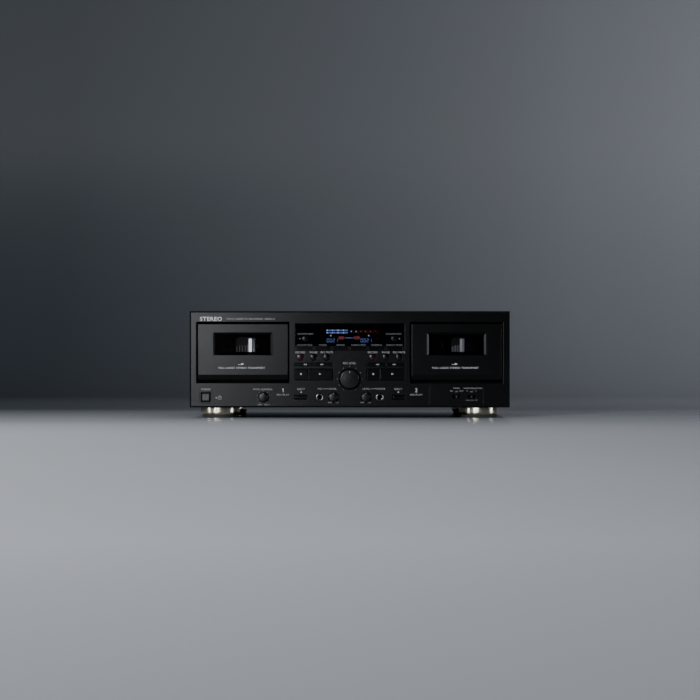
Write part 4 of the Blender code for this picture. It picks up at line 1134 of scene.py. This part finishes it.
def rear_panel():
    """The plate with its foot lip, pierced for the connectors, with printed labels."""
    low, high = box("rear_panel")
    y1, y0 = high.y, high.y - 1.2
    lip_z = low.z + 1.2
    outline = [(y1, low.z), (y1, high.z), (y0, high.z), (y0, lip_z), (low.y, lip_z), (low.y, low.z)]
    panel = to_object("rear_plate", solid("X", [(outline, low.x), (outline, high.x)]))
    holes = bmesh.new()
    for x in LINE_JACK_X:
        for z in LINE_JACK_Z:
            prism(holes, "Y", disc(x, z, 4.95), y0 - 3, y1 + 3)
    for x, z, w, h in ((168, 34, 12.8, 11.8), (-180, 46, 21, 14)):
        prism(holes, "Y", rect(x, z, w, h, 0.6), y0 - 3, y1 + 3)
    carved(panel, holes)
    piece(panel, [POWDER], replaces=["rear_panel"])

    bm = bmesh.new()

    def label(text, x, z, width=None, height=2.6):
        words(bm, text, x, z, height, y1, width, 0.03, rear=True)

    for x, deck in ((27, "1"), (101, "2")):
        label(f"DECK {deck}", x, 74, None, 3.2)
        label("LINE", x, 68, None)
    for x in LINE_JACK_X:
        label("IN" if x in LINE_JACK_X[::2] else "OUT", x, 62.5, None, 2.2)
    for z, text in ((42, "R"), (56, "L")):
        label(text, 64, z)
        label(text, 8.5, z)
    label("USB", 168, 43.5)
    label("AC IN", -180, 60.5)
    piece(to_object("rear_legend", bm), [WHITE_INK], weighted=False)
    rows = ((136, (-200, 0, 200)), (24, (-205, -100, 60, 205)), (49, (54.5, 73.5)))
    screws("rear_screws", [((x, y1, z), 1) for z, row in rows for x in row], "Y")


def ac_inlet():
    """The two-pin inlet."""
    low, high = box("ac_inlet")
    at = (low + high) / 2
    flange = rect(at.x, at.z, high.x - low.x, high.z - low.z, 2.5)
    body = rect(at.x, at.z, 20.4, 13.4, 1)
    face = high.y - 1.8
    sections = [(body(), low.y), (body(), face), (flange(), face), (flange(), high.y - 0.5)]
    sections += [(flange(0.15), high.y - 0.15), (flange(0.5), high.y)]
    inlet = to_object("inlet_housing", solid("Y", sections))
    cavity = rect(at.x, at.z, 15, 9, 3.2, 8)
    lip = [(cavity(-0.4), high.y + 1), (cavity(-0.4), high.y), (cavity(), high.y - 0.5)]
    carved(inlet, solid("Y", lip + [(cavity(), low.y + 5)]))
    piece(inlet, [INSIDE_BLACK], replaces=["ac_inlet"])
    pins = bmesh.new()
    for way in (-1, 1):
        profile = [(1.2, low.y + 4.6), (1.2, face - 3), (0.9, face - 2.3), (0.3, face - 2)]
        turned(pins, "Y", at.x + way * 4.8, at.z, profile, 24)
    piece(to_object("inlet_pins", pins), [NICKEL])


def main_board():
    """The circuit board, its tall parts, and the line jacks and USB port along its rear edge."""
    low, high = box("main_board")
    base, rear = low.z, high.y - 11.6
    top, deck_z = base + 1.6, base + 1.5
    card = bmesh.new()
    block(card, (low.x, low.y, base), (high.x, rear - 0.5, top), radius=1)
    piece(to_object("main_board_card", card), [CIRCUIT], replaces=["main_board"])

    cans = bmesh.new()
    for x, y, radius, tall in ((-20, 60, 9, 32), (2, 60, 9, 32), (-20, 90, 6.5, 22), (130, 60, 5, 14)):
        r, z1 = radius, top + tall
        profile = [(r - 0.5, top + 0.1), (r, top + 0.7), (r, top + 2.2),
                   (r - 0.4, top + 2.7), (r, top + 3.3), (r, z1 - 0.8), (r - 0.5, z1)]
        turned(cans, "Z", x, y, profile)
        lid = [(r - 1.2, z1 - 0.2), (r - 1.2, z1 + 0.1)]
        turned(cans, "Z", x, y, lid, paint=1)
    piece(to_object("capacitors", cans), [SLEEVE, ALUMINIUM])
    parts = bmesh.new()
    block(parts, (-50, 40, top + 0.1), (-48, 100, 58))
    for i in range(9):
        block(parts, (-48.1, 41 + 7 * i, top + 2), (-42, 42.4 + 7 * i, 57))
    block(parts, (60, 30, top + 0.1), (84, 54, top + 3), 1, 0.8)
    block(parts, (150, -10, top + 0.1), (190, 0, 34), 2, 0.8)
    piece(to_object("board_parts", parts), [ALUMINIUM, INSIDE_BLACK, WHITE_PLASTIC])

    holders = bmesh.new()
    for x in LINE_JACK_X[::2]:
        shape = span(x - 8, x + 26, top + 0.1, 65, 0.8)
        loft(holders, "Y", rounded(shape, rear - 13, 0.5, rear))
    block(holders, (162, rear - 15, top + 0.1), (174, rear - 1, 28))
    piece(to_object("jack_holders", holders), [INSIDE_BLACK])
    jacks, tip = bmesh.new(), high.y
    for x in LINE_JACK_X:
        for z, paint in zip(LINE_JACK_Z, (2, 1)):
            barrel, seat = 4.15, rear + 0.1
            profile = [(barrel - 0.7, seat), (barrel, seat), (barrel, tip - 0.5)]
            profile += [(barrel - 0.3, tip), (barrel - 0.7, tip - 0.1)]
            hoop(jacks, x, z, profile, 48)
            profile = [(1.7, seat), (barrel - 0.75, seat), (barrel - 0.75, tip - 0.9),
                       (1.9, tip - 0.7), (1.7, tip - 0.9)]
            hoop(jacks, x, z, profile, 40, paint)
            profile = [(1.35, seat), (1.65, seat), (1.65, tip - 1.1), (1.35, tip - 1.1)]
            hoop(jacks, x, z, profile, 32)
            profile = [(barrel + 0.05, seat), (4.8, seat), (4.8, rear + 3.6),
                       (4.5, rear + 3.9), (barrel + 0.05, rear + 3.9)]
            hoop(jacks, x, z, profile, 48, paint)
    piece(to_object("line_jacks", jacks), [NICKEL, WHITE_PLASTIC, RED_PLASTIC])

    x, z, end = 168, 34, high.y - 8.6
    shell = rect(x, z, 11.8, 10.8, 0.8)
    port = rect(x, z, 10.6, 9.6, 0.5)
    case = to_object("usb_shell", solid("Y", [(shell(), rear - 14), (shell(), end - 0.2),
                                              (shell(0.2), end)]))
    carved(case, prism(bmesh.new(), "Y", port, rear - 8, end + 1))
    piece(case, [NICKEL])
    tongue = bmesh.new()
    shape = rect(x, z, 5.6, 3.2, 0.2)
    loft(tongue, "Y", [(shape(), rear - 7.9), (shape(), end - 1.2), (shape(0.2), end - 1)])
    piece(to_object("usb_tongue", tongue), [WHITE_PLASTIC])


top_cover()
rear_panel()
ac_inlet()
main_board()

# ---------------------------------------------------------------- what stays as the frame made it

for node, material in (
    ("bottom_chassis", ZINC), ("power_transformer", STEEL),
    *((f"transport_chassis_{n}", MATT_BLACK) for n in "12"),
    *((f"{what}_hub_{n}", INSIDE_BLACK) for n in "12" for what in ("supply", "takeup")),
    *((f"capstan_flywheel_{n}", STEEL) for n in "12"),
    *((f"pinch_roller_{n}", RUBBER) for n in "12"),
):
    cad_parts[node].material_slots[0].material = material

# ---------------------------------------------------------------- stage, lights and camera


def stage_surface():
    """Pale where the deck stands, darker up the wall and in the foreground, with painted light: the floor
    painted lighter to the left, the wall lighter to the right, and a painted shadow under the deck.
    """
    look = Look("studio_paper", (0.62, 0.63, 0.66), 0.26)
    axes = look.add("ShaderNodeSeparateXYZ", Vector=look.place).outputs
    across, along = axes["X"], axes["Y"]
    floor = look.mottled(1.5, 0.03, 0.02)
    # Painted light: the floor fades from pale on the left to darker on the right.
    floor = look.mixed(look.ranged(across, 0.0, 1.0, -0.35, 0.5), floor, (0.34, 0.35, 0.375))
    floor = look.mixed(look.ranged(along, 1.0, 0.0, -2.8, -1.9), floor, (0.03, 0.03, 0.035))
    # Painted light: the wall is darker on the left and lighter on the right.
    wall = look.mixed(look.ranged(across, 0.0, 1.0, -0.75, 0.6), (0.040, 0.048, 0.058), (0.118, 0.125, 0.138))
    tone = look.mixed(look.ranged(along, 0.0, 1.0, -0.35, 0.4), floor, wall)
    # Painted shadow: the floor under the deck's footprint is darkened nearly to black.
    side, front = PANEL_HIGH.x * MM, FRONT * MM
    shade = look.ranged(across, 0.0, 1.0, -side, -0.19)
    for value, start, end in ((across, side, 0.19), (along, front, front + 0.02), (along, 0.19, 0.14)):
        shade = look.product(shade, look.ranged(value, 0.0, 1.0, start, end))
    look.link(look.mixed(shade, tone, (0.006, 0.006, 0.007)), "Base Color")
    gloss = look.product(look.ranged(along, 0.35, 1.0, 1.2, 0.2), look.ranged(along, 0.0, 1.0, -0.9, -0.3))
    look.link(look.ranged(gloss, 0.75, 0.26, 0.0, 1.0), "Roughness")
    return look.bump(look.noise(400.0, 2.0), 0.02 * MM).material


def stage():
    """A pale floor that curves up into a plain wall behind the deck."""
    reach, wall_y, rise, radius = 4500, 2300, 3200, 700
    profile = [(-5000, 0)]
    profile += [
        (wall_y - radius + radius * math.sin(t), radius - radius * math.cos(t))
        for t in (math.pi / 2 * i / 16 for i in range(17))
    ]
    profile.append((wall_y, rise))
    bm = bmesh.new()
    rows = [[bm.verts.new((x, y, z)) for y, z in profile] for x in (-reach, reach)]
    for i in range(len(profile) - 1):
        bm.faces.new((rows[0][i], rows[0][i + 1], rows[1][i + 1], rows[1][i]))
    floor = to_object("studio_sweep", bm)
    floor.data.materials.append(stage_surface())
    floor.data.shade_smooth()
    floor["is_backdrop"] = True


def area_light(name, place, target, width, height, power, colour=(0.93, 0.96, 1.0)):
    light = bpy.data.lights.new(name, "AREA")
    light.shape, light.size, light.size_y = "RECTANGLE", width, height
    light.energy, light.color = power, colour
    obj = bpy.data.objects.new(name, light)
    obj.location = place
    obj.rotation_euler = (Vector(target) - Vector(place)).to_track_quat("-Z", "Y").to_euler()
    obj.visible_camera = False
    bpy.context.scene.collection.objects.link(obj)
    return obj


def studio():
    """A soft key from the front left, tall strips at the sides, a light on the wall and one above."""
    aim = (0, -0.1, 0.07)
    area_light("key_left", (-1.85, -3.5, 1.25), aim, 0.45, 1.3, 88)
    area_light("key_low", (-1.85, -3.5, 0.25), aim, 0.35, 0.5, 9)
    area_light("key_soft", (-0.83, -3.45, 0.45), aim, 0.95, 1.0, 20)
    area_light("strip_left", (-2.0, -1.0, 0.6), aim, 0.25, 1.2, 14)
    area_light("strip_right", (2.6, -0.8, 0.6), aim, 0.5, 1.2, 20)
    area_light("wall_right", (2.0, 0.9, 0.9), (1.5, 2.3, 0.4), 0.8, 0.8, 24)
    area_light("top", (0, 0.7, 1.9), (0, -0.7, 0), 2.6, 1.2, 16)
    world = bpy.data.worlds.new("studio")
    world.use_nodes = True
    background = world.node_tree.nodes["Background"]
    background.inputs["Color"].default_value = (0.55, 0.62, 0.75, 1)
    background.inputs["Strength"].default_value = 0.03
    bpy.context.scene.world = world


def camera():
    """Level and straight on, at the height of the deck's middle."""
    data = bpy.data.cameras.new("camera")
    data.lens, data.sensor_width, data.shift_y = 94.3, 36.0, 17 / 700
    obj = bpy.data.objects.new("camera", data)
    obj.location = (0.0004, FRONT * MM - 2.49, 0.069)
    obj.rotation_euler = (math.pi / 2, 0, 0)
    bpy.context.scene.collection.objects.link(obj)
    bpy.context.scene.camera = obj


stage()
studio()
camera()

box = {"cad": [list(corner) for corner in CAD_BOX], "visual": [list(corner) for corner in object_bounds()]}
